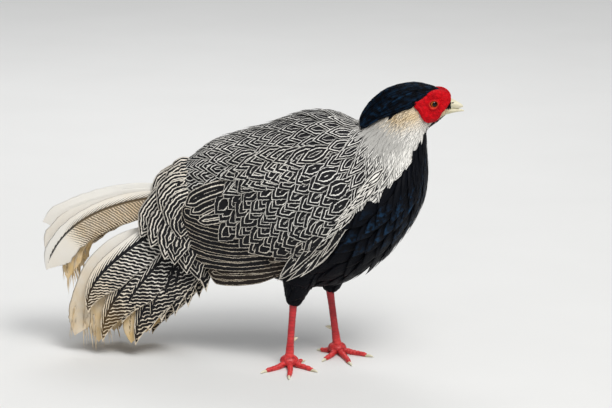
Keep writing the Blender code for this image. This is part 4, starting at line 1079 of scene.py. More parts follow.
def lay_blades(coat, controls, half, lean, side, cell, draw, paint, rows, columns, tip_from, power, rag,
               quill=0.45, shaft_at=SHAFT_AT):
    """Long free feathers along curves, each with its blade facing its own side of the bird."""
    number = len(controls)
    t, c, width = grid = vane_grid(number, rows, columns, tip_from, power, quill, rag, draw)
    spine = curve_at(controls, t[0, :, 0]) * (1, side, 1)
    ahead = unit(np.gradient(spine, axis=1))
    lean = np.broadcast_to(lean, number)
    out = square_to(np.stack([0 * lean, side * np.cos(lean), np.sin(lean)], -1)[:, None], ahead)
    up = -side * np.cross(ahead, out)
    half = per_vane(half)
    b = (c - shaft_at) * width * half
    wave = draw.uniform(0, 6.3, (number, 1, 1))
    web = np.where(b > 0, b / (1 - shaft_at), -b / (1 + shaft_at)) / half
    lift = BLADE_RIDGE * half * (1 - web) + 0.0010 * np.sin(9 * t + wave) * web
    top = spine[:, :, None] + up[:, :, None] * b[..., None] + out[:, :, None] * lift[..., None]
    normal = np.broadcast_to(out[:, :, None], top.shape)
    add_vanes(coat, top, normal, BLADE_THICK * (1 - 0.4 * t), paint, grid, run_length(spine), half, b, cell)


INNER_SLANT, OUTER_SLANT = math.radians(52), math.radians(17)
# Below this line spacing a feather's lines are fine and pale
FINE_PERIOD = 0.0035


def slanted(ink, plain_top, stain, period, fade_from):
    """Wavy lines that leave the shaft slantwise, flatter on the upper web, and fade towards rim and tip."""

    def paint(lie):
        a, b, c, t = (lie[key] for key in "abct")
        inner = b < 0
        slant = np.where(inner, INNER_SLANT, OUTER_SLANT)
        on = np.abs(b) * np.sin(slant) - a * np.cos(slant)
        ripple = 0.15 * np.sin(on / 0.00135 + a / 0.011) + 0.10 * np.sin(on / 0.00078 - a / 0.005)
        spacing = np.where(inner, period, 0.62 * period)
        phase = (a * np.sin(slant) + np.abs(b) * np.cos(slant)) / spacing + ripple * np.where(inner, 1.0, 0.4)
        rim = ramp(lie["edge"], 0.0004, 0.0016)
        upper = 1 - plain_top * ramp(b / lie["half"], 0.02, 0.45)
        tip = 1 - ramp(t, fade_from, fade_from + 0.16)
        shaft = np.exp(-((b / (0.0012 * (1.25 - t))) ** 2)) * ramp(ink, 0.1, 0.3) * (1 - ramp(t, 0.88, 0.98))
        fine = ramp(ink, 0.35, 0.5) * (period < FINE_PERIOD)
        fine_warm = (1 - 0.75 * ramp(t, 0.62, 0.80)) * (1 - 0.7 * ramp(b, 0.0, 0.004))
        warm = between(0.20 + 1.25 * ramp(t, 0.25, 0.95), fine_warm, fine)
        return {
            "phase": phase,
            "ink": np.clip(ink * rim * upper * tip, 0, 1) + 1.5 * shaft,
            "stain": np.clip(stain * warm, 0, 1),
            "tone": (period < FINE_PERIOD) * (0.36 - 0.36 * ramp(-c, 0.6, 0.9)) * (1 - shaft),
        }

    return paint


def make_tail_plumage(side, side_name, pale):
    """The plain and the lined feathers, and over their roots two layers of coverts."""
    draw = np.random.default_rng(70 + side)
    coat = Coat()
    for table, band, tip_from, power, rag, fade_from in (
        (TAIL_PLAIN, 0.18, 0.88, 1.5, 0.07, 0.62),
        (TAIL_LINED, 0.46, 0.60, 1.20, 0.04, 0.95),
    ):
        number = len(table)
        controls = np.stack([table[:, 0:8:2], table[:, 8:12], table[:, 1:8:2]], -1)
        controls[:, 2:] += draw.uniform(-0.0015, 0.0015, (number, 2, 3))
        controls[..., 2] -= 0.44 * controls[..., 1] * (0, 1, 1, 0.35) * (side > 0)
        half = table[:, 12] / 2
        ink, plain, stain, period = (per_vane(column) for column in table[:, 13:].T)
        lay_blades(coat, controls, half, BLADE_LEAN, side, patches(number, band, 0.13), draw,
                   slanted(ink, plain, stain, period, fade_from), rows=50, columns=21, tip_from=tip_from,
                   power=power, rag=rag)
        if table is TAIL_PLAIN:
            lay_fringe(coat, controls[FRAYED], half[FRAYED], side, draw)

    upper = (TAIL_COVERTS[1:] + TAIL_COVERTS[:-1]) / 2
    for table, share, shift, bulge, rows, band in (
        (TAIL_COVERTS, 1.0, (0.0, 0.0, 0.0), 0.008, 24, 0.78),
        (upper, 0.62, (0.011, 0.002, 0.003), 0.0115, 20, 0.90),
    ):
        root = table[:, 0:3] + shift
        tip = root + (table[:, 3:6] - root) * share + draw.uniform(-0.003, 0.003, (len(table), 3))
        lean = np.radians(table[:, 7])
        bow = np.stack([0 * lean - 0.9, np.cos(lean), np.sin(lean) + 0.6], -1) * bulge
        reach = tip - root
        controls = np.stack([root, root + reach * 0.35 + bow, root + reach * 0.75 + bow * 0.7, tip], 1)
        controls[:, :, 1] = np.maximum(controls[:, :, 1], 0.002)
        lay_blades(coat, controls, table[:, 6], lean, side, patches(len(table), band, 0.05), draw,
                   lined(table[:, 8], table[:, 9], 0.22, wave=0.15), rows=rows, columns=15, tip_from=0.64,
                   power=1.15, rag=0.03, shaft_at=0.0)
    dress(coat.build(f"tail_plumage_{side_name}", pale), [f"tail_{side_name}"])


def one_on_each(curves, shares):
    """One place on each curve."""
    return np.stack([curve_at(curve[None], share[None])[0, 0] for curve, share in zip(curves, shares)])


def lay_fringe(coat, controls, half, side, draw):
    """Loose, frayed strands at the tips of the plain tail feathers."""
    each = 12
    number = len(controls) * each
    curves = np.repeat(controls, each, 0)
    at = draw.uniform(0.78, 0.94, number)
    spot = one_on_each(curves, at)
    ahead = unit(spot - one_on_each(curves, at - 0.02))
    across = unit(np.cross(ahead, (0.0, 1.0, 0.0)))
    across *= np.sign(across[:, 2:])
    offset = draw.uniform(-1.0, 0.4, number) * np.repeat(half, each)
    root = spot + across * offset[:, None]
    root[:, 1] += draw.uniform(-0.001, 0.002, number)
    reach = draw.uniform(0.012, 0.032, number)[:, None]
    splay = across * (offset * 0.35 + draw.normal(0, 0.0016, number))[:, None]
    tip = root + ahead * reach + splay + np.array([0, 0, -0.30]) * reach
    fan = np.stack([root, root + ahead * reach * 0.35, root + ahead * reach * 0.7 + splay * 0.5, tip], 1)
    fan[..., 2] = np.maximum(fan[..., 2], 0.003)
    stain = per_vane(draw.uniform(0.55, 1.0, number))

    def paint(_):
        return {"phase": 0.0, "ink": 0.0, "stain": stain, "tone": 0.0}

    half = draw.uniform(0.0006, 0.0014, number)
    lay_blades(coat, fan, half, BLADE_LEAN, side, patches(number, 0.62, 0.010, 0.3), draw, paint, rows=8,
               columns=3, tip_from=0.25, power=1.4, rag=0.0, quill=0.8, shaft_at=0.0)


# Crest

CREST_TOP = np.array(((0.1610, 0.3535), (0.150, 0.3580), (0.128, 0.3614), (0.098, 0.3535), (0.077, 0.3370),
                      (0.0665, 0.3220), (0.0630, 0.3125), (0.0640, 0.3040)))
CREST_LOW = np.array(((0.1595, 0.3520), (0.150, 0.3490), (0.139, 0.3430), (0.128, 0.3345), (0.1090, 0.3262),
                      (0.0920, 0.3180), (0.0785, 0.3085), (0.0705, 0.2995)))
CREST_WIDE = np.array([[0.0070, 0.0145, 0.0190, 0.0215, 0.0215, 0.0215, 0.0215, 0.0205]]).T
CREST_TOP, CREST_LOW, CREST_WIDE = (smooth_rows(table, 57) for table in (CREST_TOP, CREST_LOW, CREST_WIDE))
CREST_MIDDLE = (0.110, 0.325)
CREST_PLUMES = 760


def crest_point(along_share, round_share, depth):
    """Points on the crest: from the brow at 0 to the tips at 1, and round it from side to side (-1 to 1)."""
    places = np.clip(along_share, 0, 1) * (len(CREST_TOP) - 1)

    def line(table):
        return np.stack([np.interp(places, np.arange(len(table)), values) for values in table.T], -1)

    top, low = line(CREST_TOP), line(CREST_LOW)
    turn = np.abs(round_share) * math.pi / 2
    side_view = top + (low - top) * (1 - np.cos(turn))[..., None]
    y = line(CREST_WIDE)[..., 0] * np.sin(turn) * np.sign(round_share)
    core = np.insert((top + low) / 2, 1, 0.0, -1)
    place = np.stack([side_view[..., 0], y, side_view[..., 1]], -1)
    return place + unit(core - place) * np.asarray(depth)[..., None]


def above_plumage(ground, points):
    """Moves points out where they would lie inside the plumage of neck and mantle."""
    place, out = ground.at(points)
    height = ((points - place) * out).sum(-1)
    need = 0.0052 * ramp(-points[..., 0], -0.112, -0.090)
    return points + out * np.maximum(need - height, 0)[..., None]


def make_crest(ground, dark):
    """A smooth core, and over it narrow plumes that start at the brow and crown and end at the nape."""
    draw = np.random.default_rng(23)
    points, faces = closed_tube(crest_point(*np.meshgrid(np.linspace(0, 1, 48), np.linspace(-1, 1, 41),
                                                         indexing="ij"), 0.0026))
    core = add_object("crest_down", points, faces, dark, marks={"painted_blue_sheen": np.zeros(len(points))})
    dress(core, ["crest"])
    number = CREST_PLUMES
    start = draw.uniform(-0.02, 0.56, number)
    start[:90] = draw.uniform(-0.02, 0.08, 90)
    reach = np.minimum(draw.uniform(0.34, 0.62, number) + 0.25 * (start > 0.3), 1.04 - start)
    edge = draw.uniform(-1, 1, number)
    depth0, depth1 = draw.uniform(0.0006, 0.0030, number), draw.uniform(-0.0004, 0.0022, number)
    rows, columns = 11, 3
    t, c, width = vane_grid(number, rows, columns, 0.35, 1.3, 0.7, 0.0, draw)
    share = t[0, :, 0]
    tau = start[:, None] + reach[:, None] * share
    past = np.maximum(tau - 1, 0)
    drift = edge[:, None] * (1 - 0.05 * share) + draw.normal(0, 0.05, (number, 1)) * share
    sway = 0.03 * np.sin(draw.uniform(0, 6.3, (number, 1)) + 5 * share) * share
    depth = between(depth0[:, None], depth1[:, None], share)
    spine = crest_point(tau, np.clip(drift + sway, -1.06, 1.06), depth)
    spine = spine + past[..., None] * np.array([0.016, 0.0, -0.050])
    spine = above_plumage(ground, spine)
    ahead = unit(np.gradient(spine, axis=1))
    out = square_to(unit(spine - (CREST_MIDDLE[0], 0.0, CREST_MIDDLE[1])), ahead)
    side = np.cross(out, ahead)
    b = c * width * per_vane(draw.uniform(0.0008, 0.0015, number))
    height = 0.00035 * (1 - np.abs(c))
    top = spine[:, :, None] + side[:, :, None] * b[..., None] + out[:, :, None] * height[..., None]
    normal = np.broadcast_to(out[:, :, None], top.shape)
    # Some plumes are marked for a painted blue sheen
    shine = per_vane(draw.uniform(0.15, 1.0, number) ** 2)
    marks = {"painted_blue_sheen": 0.7 * shine, "along": t * 3, "across": b / UV_UNIT}
    cell = np.stack([0.05 + 0.85 * np.clip(start, 0, 1), 0.5 + 0.47 * edge, np.full(number, 0.004),
                     np.full(number, 0.0015)], -1)
    coat = Coat().add(top, normal, np.full((1, rows, 1, 1), BLADE_THICK), marks, cell, t, c)
    dress(coat.build("crest_plumes", dark))


# Bare face and eyes

FACE_SHARES = (0.0, 0.10, 0.24, 0.50, 0.78, 0.93, 1.0)
FACE_RISES = (-0.0002, 0.0010, -0.0004, 0.0006, 0.0012, 0.0002, -0.0010)
FACE_OUT, FACE_DEPTH = 0.0172, 0.009
HEAD_X, HEAD_Z, HEAD_CELL = (0.110, 0.190), (0.298, 0.368), 0.001


def at_each(points, value):
    """A value worked out at each point."""
    return np.array([value(Vector(p)) for p in points.reshape(-1, 3).tolist()]).reshape(points.shape[:-1])


def noise_at(points, scale, octaves=3):
    """Soft noise at points, about -1 to 1."""

    def value(point):
        return noise.fractal(point, 1.0, 2.0, octaves, noise_basis="PERLIN_ORIGINAL")

    return at_each(points * scale, value)


def cells_at(points, scale):
    """Distance to the nearest of scattered seeds, in cells: 0 in the middle of a cell."""
    return at_each(points * scale, lambda p: noise.voronoi(p)[0][0])


def head_width(ground):
    """A grid of the head's half width in side view, from rays at the skin."""
    xs, zs = np.arange(*HEAD_X, HEAD_CELL), np.arange(*HEAD_Z, HEAD_CELL)
    values = np.zeros((len(xs), len(zs)))
    for i, x in enumerate(xs):
        for j, z in enumerate(zs):
            hit = ground.tree.ray_cast(Vector((x, 0.1, z)), Vector((0, -1, 0)), 0.1)
            if hit[0] is not None:
                values[i, j] = hit[0][1] + 0.0009
    for _ in range(6):
        values = (around_each(values) + 2 * values) / 6
    return values


def make_faces(ground, red):
    """Bare skin round the eyes, with a lid, folds near it, papillae past them and a rolled rim."""
    spokes, rows = 260, 64
    turn = np.linspace(-math.pi, math.pi, spokes, endpoint=False)
    share = np.linspace(0, 1, rows) ** 1.15
    inner = EYE_RADIUS * (0.80 + 0.06 * np.cos(2 * turn) + 0.02 * np.cos(turn + 0.5))
    reach = inner[None] + (face_radius(turn) - inner)[None] * share[:, None]
    teeth = np.interp(turn * 21 % 1.0, (0, 0.5, 1), (0, 1, 0))
    reach = reach + 0.0007 * teeth * ramp(share, 0.8, 1.0)[:, None]
    x = EYE[0] + reach * np.cos(turn)
    z = EYE[2] + reach * np.sin(turn)
    width = sample(head_width(ground), (x - HEAD_X[0]) / HEAD_CELL, (z - HEAD_Z[0]) / HEAD_CELL)
    y = np.maximum(FACE_OUT - 11.0 * reach**2, width + 0.0022)
    y = y + np.interp(share, FACE_SHARES, FACE_RISES)[:, None]
    place = np.stack([x, y, z], -1)
    lid = np.exp(-(((share - 0.055) / 0.035) ** 2))[:, None] * 0.0010
    fold = reach / 0.0016 + 0.8 * np.sin(3 * turn + 1.0) + 1.2 * noise_at(place, 160)
    ring = 0.00028 * np.sin(2 * math.pi * fold) * (1 - ramp(share, 0.28, 0.50))[:, None]
    middle = ramp(share, 0.18, 0.36) * (1 - ramp(share, 0.95, 1.0))
    papilla = 0.00085 * (0.62 - cells_at(place, 900)) * middle[:, None]
    big = 0.0008 * noise_at(place + 3.0, 210) * middle[:, None]
    raised = y + lid + ring + papilla + big
    raised = raised - 0.0012 * ramp(share, 0.90, 1.0)[:, None] ** 2
    # Raised papillae are marked lighter and the skin between them darker: painted light and shade on the bumps
    papilla_light = np.clip(0.5 + 600 * papilla, 0, 1)
    near_lid = np.repeat(np.exp(-(((share - 0.03) / 0.06) ** 2)), spokes)
    marks = {"papilla_light": np.pad(papilla_light.ravel(), spokes, constant_values=0.3), "lid": np.pad(near_lid, spokes)}
    first, last = np.arange(spokes), (rows + 1) * spokes
    second = (first + 1) % spokes
    closing = np.stack([last + first, last + second, second, first], -1)
    faces = np.vstack([ring_faces(rows + 2, spokes), closing])
    for name, side in SIDES:
        inner_y = np.full(spokes, side * (FACE_OUT - FACE_DEPTH))
        lining, back = (np.stack([x[row], inner_y, z[row]], -1)[None] for row in (0, -1))
        points = np.concatenate([lining, np.stack([x, side * raised, z], -1), back]).reshape(-1, 3)
        face = add_object(f"face_{name}_skin", points, faces[:, ::-side], red, marks=marks)
        dress(face, [f"face_{name}"])


def make_eyes(glass):
    """Wet round eyes. One mark grows from the middle of the pupil to the back, the other makes rays."""
    bands, spokes = 48, 72
    fall = np.linspace(0, math.pi, bands)[1:-1]
    turn = np.linspace(0, 2 * math.pi, spokes, endpoint=False)
    sides = np.sin(fall)[:, None, None]
    rays = np.append(np.tile(turn, bands - 2), (0.0, 0.0))
    marks = {"pole": np.append(np.repeat(fall, spokes), (0.0, math.pi)) / math.pi,
             "around": np.sin(rays * 24) * 0.5 + 0.5}
    for name, side in SIDES:
        axis = unit([0.24, side, 0.04])
        first = unit(np.cross(axis, (0, 0, 1)))
        second = np.cross(axis, first)
        rings = (
            axis * np.cos(fall)[:, None, None]
            + first * sides * np.cos(turn)[None, :, None]
            + second * sides * np.sin(turn)[None, :, None]
        ) * EYE_RADIUS * EYE_SHARE
        centre = EYE * (1, side, 1)
        points, faces = closed_tube(rings + centre)
        reach = axis * EYE_RADIUS * EYE_SHARE
        points[-2:] = centre + reach, centre - reach
        dress(add_object(f"eyeball_{name}", points, faces, glass, marks=marks), [f"eye_{name}"])


# Bill

# Each section: x, middle z, half height and half width
UPPER_BILL = np.array(
    (
        (0.164, 0.3350, 0.0085, 0.0085),
        (0.1735, 0.3345, 0.0073, 0.0070),
        (0.1805, 0.3333, 0.0055, 0.0054),
        (0.1860, 0.3322, 0.0037, 0.0039),
        (0.1893, 0.3318, 0.0021, 0.0025),
        (0.1912, 0.3312, 0.0011, 0.0012),
    )
)
LOWER_BILL = np.array(
    (
        (0.160, 0.3208, 0.0042, 0.0080),
        (0.168, 0.3238, 0.0040, 0.0068),
        (0.176, 0.3256, 0.0034, 0.0052),
        (0.184, 0.3262, 0.0022, 0.0036),
        (0.1895, 0.3260, 0.0013, 0.0023),
        (0.1925, 0.3256, 0.0007, 0.0010),
    )
)
NOSTRIL = (0.1785, 0.0054, 0.3362)


def add_horn(name, rings, tip, pit, edge, horn, *nodes):
    """A closed horn form, with marks for how near its tip, a pit and its edge each point is."""
    points, faces = closed_tube(rings)
    marks = {"tip": np.append(tip, (0, 1)), "pit": np.append(pit, (0, 0)), "edge": np.append(edge, (0, 0))}
    dress(add_object(name, points, faces, horn, marks=marks), nodes)


def make_bill(horn):
    """Two halves with a keel, faint grain, and nostrils under their flaps in the upper one."""
    count, spokes = 70, 64
    turn = np.linspace(0, 2 * math.pi, spokes, endpoint=False)
    halves = (("bill_top", UPPER_BILL, "bill_upper"), ("bill_under", LOWER_BILL, "bill_lower"))
    for name, table, node in halves:
        rows = smooth_rows(table, count)
        x, z, tall, wide = rows.T[:, :, None]
        upper = name == "bill_top"
        peak = np.cos(turn) * (1 + 0.06 * np.exp(-((turn - (0 if upper else math.pi)) ** 2) / 0.05))
        points = np.stack([x + 0 * turn, wide * np.sin(turn), z + tall * peak], -1)
        pit = np.zeros(points.shape[:2])
        if upper:
            for side in (-1, 1):
                centre = np.array([NOSTRIL[0], side * NOSTRIL[1], NOSTRIL[2]])
                offset = (points - centre) / (0.0024, 0.004, 0.0013)
                this_side = points[..., 1] * side > 0
                near = np.exp(-((offset**2).sum(-1)) * 1.6) * this_side
                flap = (points - centre - (0.0, 0.0, 0.0014)) / (0.0036, 0.004, 0.0011)
                swell = np.exp(-((flap**2).sum(-1))) * this_side
                points[..., 1] += side * (0.0007 * swell - 0.0012 * near)
                pit = np.maximum(pit, near)
        grain = 0.00012 * noise_at(points * (0.5, 1, 1.6), 900, 2)
        points[..., 1] *= 1 + grain / 0.004
        tip = np.repeat((rows[:, 0] - rows[0, 0]) / (rows[-1, 0] - rows[0, 0]), spokes)
        edge = np.tile(np.abs(np.sin(turn)) ** 6 * (0.6 if upper else 0.9), count)
        add_horn(name, points, tip, pit, edge, horn, node)


# Legs

SHANK_RADII = ((0.0, 0.0054), (0.08, 0.0050), (0.3, 0.0044), (0.7, 0.0044), (0.92, 0.0054), (1.0, 0.0066))
SCUTE_STEP, TOE_SCUTE_STEP, SCALES = 0.0042, 0.0027, 520
PAD_RADIUS, PAD_HEIGHT, PAD_CENTRE_Z = 0.0120, 0.0078, 0.0072
# Each toe: its length, its knuckles and its claw's length
TOES = (
    ("inner", 0.039, 2, 0.010),
    ("middle", 0.054, 3, 0.012),
    ("outer", 0.042, 4, 0.010),
    ("hind", 0.021, 1, 0.008),
)
TOE_ROOT_RADIUS, TOE_TIP_RADIUS, TOE_ROOT_Z = 0.0035, 0.0024, 0.0052
SOLE_SINK = 0.0006
CLAW_RADIUS = 0.0020
SPUR_LENGTH, SPUR_RADIUS, SPUR_HEIGHT = 0.0085, 0.0026, 0.034


def above_floor(rings):
    return np.stack([rings[..., 0], rings[..., 1], np.maximum(rings[..., 2], 0.0)], -1)


def heading_at(degrees, rise=0.0):
    return np.array([math.cos(math.radians(degrees)), math.sin(math.radians(degrees)), rise])


def add_leg_skin(name, rings, groove, red, node):
    """A closed form of leg skin, with marks for its grooves and for its height above the floor."""
    points, faces = closed_tube(rings)
    marks = {"groove": np.append(groove, (0, 0)), "high": points[:, 2]}
    dress(add_object(name, points, faces, red, marks=marks), [node])


def scaled_limb(name, path, radii, front, scute, red, node, count):
    """A scaly limb: broad plates along its front and small scales round the rest."""
    place = np.linspace(0, len(path) - 1, 4 * len(path))
    index = np.arange(len(path))
    line = np.stack([np.interp(place, index, values) for values in path.T], -1)
    for _ in range(3):
        line[1:-1] = (line[:-2] + 2 * line[1:-1] + line[2:]) / 4
    run = np.concatenate([[0], np.cumsum(np.linalg.norm(np.diff(line, axis=0), axis=1))])
    rings = limb_rings(line, np.interp(place, index, radii), count)
    outward = unit(rings - line[:, None])
    plate = ramp((outward * front).sum(-1), 0.25, 0.60)
    step = (run[:, None] / scute) % 1.0
    ridge = 0.00042 * step**1.5 * (1 - ramp(step, 0.86, 1.0)) * plate
    small = 0.00030 * (0.5 - cells_at(rings, SCALES)) * (1 - plate)
    rings = above_floor(rings + outward * (ridge + small)[..., None])
    groove = between(ramp(cells_at(rings, SCALES), 0.45, 0.8), np.exp(-((step / 0.10) ** 2)), plate)
    add_leg_skin(name, rings, np.clip(groove, 0, 1), red, node)


def make_leg(name, leg, red, horn):
    """A shank with its spur, the foot's pad, and the toes with their claws."""
    side = leg["side"]
    heel, foot = np.array(leg["heel"]) * (1, side, 1), np.array(leg["foot"]) * (1, side, 1)
    down = unit(foot - heel)
    share = np.linspace(0, 1, 60)
    start = heel - down * 0.004
    shares, reaches = zip(*SHANK_RADII)
    scaled_limb(f"leg_{name}", start + (foot - start) * share[:, None], np.interp(share, shares, reaches),
                heading_at(leg["toes"][1]), SCUTE_STEP, red, f"shank_{name}", 40)
    root = foot - down * (SPUR_HEIGHT - foot[2])
    out = heading_at(leg["toes"][3], -0.12)
    reach = np.linspace(-0.001, 0.004 + SPUR_LENGTH, 16)
    curve = root + out * reach[:, None] + np.array([0, 0, 0.0016]) * ramp(reach, 0.002, 0.0125)[:, None]
    radii = SPUR_RADIUS * 1.15 * np.sqrt(np.clip(1 - ramp(reach, 0.003, 0.0135), 0.02, 1))
    rings = limb_rings(curve, radii, 24)
    tip = np.clip((rings - root) @ unit(out) / 0.012, 0, 1)
    add_horn(f"spur_{name}", rings, tip, 0 * tip, 0 * tip, horn)

    turn = np.linspace(0, 2 * math.pi, 56, endpoint=False)
    fall = np.linspace(0.06, math.pi - 0.06, 40)
    ball = np.stack([
        foot[0] + PAD_RADIUS * np.sin(fall)[:, None] * np.cos(turn),
        foot[1] + PAD_RADIUS * np.sin(fall)[:, None] * np.sin(turn),
        PAD_CENTRE_Z + PAD_HEIGHT * np.cos(fall)[:, None] + 0 * turn,
    ], -1)
    outward = unit(ball - (foot[0], foot[1], PAD_CENTRE_Z))
    scale = cells_at(ball, 480)
    ball = above_floor(ball + outward * (0.0005 * (0.5 - scale) - 0.0002)[..., None])
    add_leg_skin(f"pad_{name}", ball, ramp(scale, 0.45, 0.8), red, f"foot_{name}")

    for (toe, length, knuckles, claw), angle in zip(TOES, leg["toes"]):
        heading = heading_at(angle)
        sway = np.array([-heading[1], heading[0], 0.0]) * 0.0015
        share = np.linspace(0, 1, 46)
        bulge = 0.0005 * np.cos(2 * math.pi * knuckles * share) ** 2 * (share > 0.1)
        radius = TOE_ROOT_RADIUS + (TOE_TIP_RADIUS - TOE_ROOT_RADIUS) * share + bulge
        radius = radius * (1 - 0.55 * ramp(share, 0.94, 1.0))
        reach = PAD_RADIUS * 0.5 + (length - PAD_RADIUS * 0.5) * share
        level = radius - SOLE_SINK
        path = foot * (1, 1, 0) + heading * reach[:, None] + sway * np.sin(math.pi * share)[:, None]
        path[:, 2] = np.maximum(level, TOE_ROOT_Z + (level - TOE_ROOT_Z) * np.minimum(1.0, share * 2.4))
        scaled_limb(f"digit_{name}_{toe}", path, radius, (0, 0, 1.0), TOE_SCUTE_STEP, red,
                    f"toe_{name}_{toe}", 32)
        root = path[-1] - heading * 0.0022 + np.array([0, 0, 0.0004])
        run = np.linspace(0, 1, 18)
        curve = root + heading * (claw + 0.0012) * run[:, None]
        curve[:, 2] = root[2] + 0.0009 * np.sin(math.pi * run) - (root[2] - 0.0011) * run**1.7
        rings = above_floor(limb_rings(curve, CLAW_RADIUS * np.sqrt(np.clip(1 - run**1.5, 0.04, 1)), 22))
        tip = np.repeat(run, 22)
        add_horn(f"nail_{name}_{toe}", rings, tip, 0 * tip, 0 * tip, horn, f"claw_{name}_{toe}")


# Materials

FULL_TURN = 6.2832


class Shader:
    """A short way to build node materials."""

    def __init__(self, name, roughness, **fixed):
        self.material = bpy.data.materials.new(name)
        self.material.use_nodes = True
        self.tree = self.material.node_tree
        self.surface = self.tree.nodes["Principled BSDF"]
        self.surface.inputs["Roughness"].default_value = roughness
        for socket, value in fixed.items():
            self.surface.inputs[socket.replace("_", " ")].default_value = value

    def node(self, kind, **settings):
        made = self.tree.nodes.new("ShaderNode" + kind)
        for key, value in settings.items():
            setattr(made, key, value)
        return made

    def join(self, source, target):
        self.tree.links.new(source, target)

    def mark(self, name):
        return self.node("Attribute", attribute_name=name).outputs["Fac"]

    def math(self, operation, a, b=0.0, clamp=False):
        """A Math node on sockets or plain numbers."""
        made = self.node("Math", operation=operation, use_clamp=clamp)
        for socket, value in zip(made.inputs, (a, b)):
            if isinstance(value, (int, float)):
                socket.default_value = value
            else:
                self.join(value, socket)
        return made.outputs[0]

    def plus(self, a, b):
        return self.math("ADD", a, b)

    def minus(self, a, b):
        return self.math("SUBTRACT", a, b)

    def times(self, a, b, clamp=False):
        return self.math("MULTIPLY", a, b, clamp)

    def mix(self, share, a, b):
        made = self.node("Mix", data_type="RGBA")
        for socket, value in ((made.inputs["Factor"], share), (made.inputs[6], a), (made.inputs[7], b)):
            if isinstance(value, tuple):
                socket.default_value = (*value, 1.0)
            elif isinstance(value, float):
                socket.default_value = value
            else:
                self.join(value, socket)
        return made.outputs[2]

    def texture(self, kind, output, **settings):
        """A texture in the object's own coordinates."""
        made = self.node(kind)
        self.join(self.node("TexCoord").outputs["Object"], made.inputs["Vector"])
        for socket, value in settings.items():
            made.inputs[socket].default_value = value
        return made.outputs[output]

    def noise(self, scale, detail=3.0):
        return self.texture("TexNoise", "Fac", Scale=scale, Detail=detail, Roughness=0.5)

    def spread(self, value, low, high, to_low=0.0, to_high=1.0):
        """A smooth rise from one value to another, between low and high."""
        made = self.node("MapRange", interpolation_type="SMOOTHSTEP")
        self.join(value, made.inputs["Value"])
        for socket, number in zip(("From Min", "From Max", "To Min", "To Max"), (low, high, to_low, to_high)):
            made.inputs[socket].default_value = number
        return made.outputs["Result"]

    def bump(self, height, strength, distance):
        made = self.node("Bump")
        made.inputs["Strength"].default_value = strength
        made.inputs["Distance"].default_value = distance
        self.join(height, made.inputs["Height"])
        self.join(made.outputs["Normal"], self.surface.inputs["Normal"])

    def colour(self, output):
        self.join(output, self.surface.inputs["Base Color"])

    def rough(self, output):
        self.join(output, self.surface.inputs["Roughness"])


def barbs(shader):
    """Fine barbs that run slantwise out from the shaft."""
    parts = shader.node("SeparateXYZ")
    shader.join(shader.node("UVMap", uv_map="Vane").outputs["UV"], parts.inputs["Vector"])
    across = shader.math("ABSOLUTE", parts.outputs["Y"])
    slant = shader.minus(shader.times(parts.outputs["X"], 21.0), shader.times(across, 24.0))
    wave = shader.math("SINE", shader.times(slant, FULL_TURN))
    return shader.plus(shader.times(wave, 0.5), 0.5)


def pale_plumage():
    """White feathers. The marks say where the lines run, how broad and how pale they are, and the stain."""
    shader = Shader("pale_plumage", 0.75, Specular_IOR_Level=0.15)
    lines = barbs(shader)
    wander = shader.times(shader.minus(shader.noise(420.0, 2.0), 0.5), 0.42)
    phase = shader.math("FRACT", shader.plus(shader.mark("phase"), wander))
    away = shader.times(shader.math("ABSOLUTE", shader.minus(phase, 0.5)), 2.0)
    patchy = shader.times(shader.minus(shader.noise(60.0), 0.5), 0.22)
    drawn = shader.spread(shader.minus(shader.plus(shader.mark("ink"), patchy), away), -0.09, 0.09)
    shown = shader.times(drawn, shader.minus(1.0, shader.times(shader.mark("tone"), 0.62)))
    shown = shader.times(shown, shader.spread(shader.mark("ink"), 0.03, 0.16))
    mottled = shader.spread(shader.noise(90.0), 0.25, 0.70, 0.65, 1.0)
    stain = shader.times(shader.mark("stain"), mottled, True)
    ground = shader.mix(stain, (0.88, 0.86, 0.81), (0.78, 0.54, 0.23))
    ground = shader.mix(shader.times(lines, 0.12), ground, (0.50, 0.49, 0.47))
    browned = shader.spread(shader.mark("stain"), 0.42, 0.80)
    dark = shader.mix(browned, (0.010, 0.010, 0.012), (0.115, 0.070, 0.028))
    shader.colour(shader.mix(shown, ground, dark))
    shader.bump(lines, 0.35, 0.0003)
    return shader.material


def dark_plumage():
    """Black feathers, with a painted steel-blue sheen where they are marked for it."""
    shader = Shader("dark_plumage", 0.46, Specular_IOR_Level=0.06)
    lines = barbs(shader)
    painted_blue_sheen = shader.times(shader.mark("painted_blue_sheen"), shader.spread(shader.noise(180.0), 0.40, 0.62), True)
    black = shader.mix(shader.times(lines, 0.35), (0.002, 0.0024, 0.004), (0.007, 0.009, 0.015))
    # Painted sheen: the marked tips are coloured steel-blue, and they are made glossier too
    shader.colour(shader.mix(painted_blue_sheen, black, (0.010, 0.042, 0.095)))
    shader.rough(shader.minus(0.46, shader.times(painted_blue_sheen, 0.14)))
    shader.bump(lines, 0.4, 0.0003)
    return shader.material


def down_skin():
    """Short down between the feathers: white above the border and black below it."""
    shader = Shader("down_skin", 0.9)
    soft = shader.spread(shader.noise(700.0), 0.3, 0.7)
    pale = shader.mix(soft, (0.36, 0.35, 0.33), (0.56, 0.55, 0.52))
    dark = shader.mix(soft, (0.008, 0.009, 0.012), (0.020, 0.021, 0.026))
    shader.colour(shader.mix(shader.mark("under"), pale, dark))
    shader.bump(soft, 0.5, 0.0008)
    return shader.material


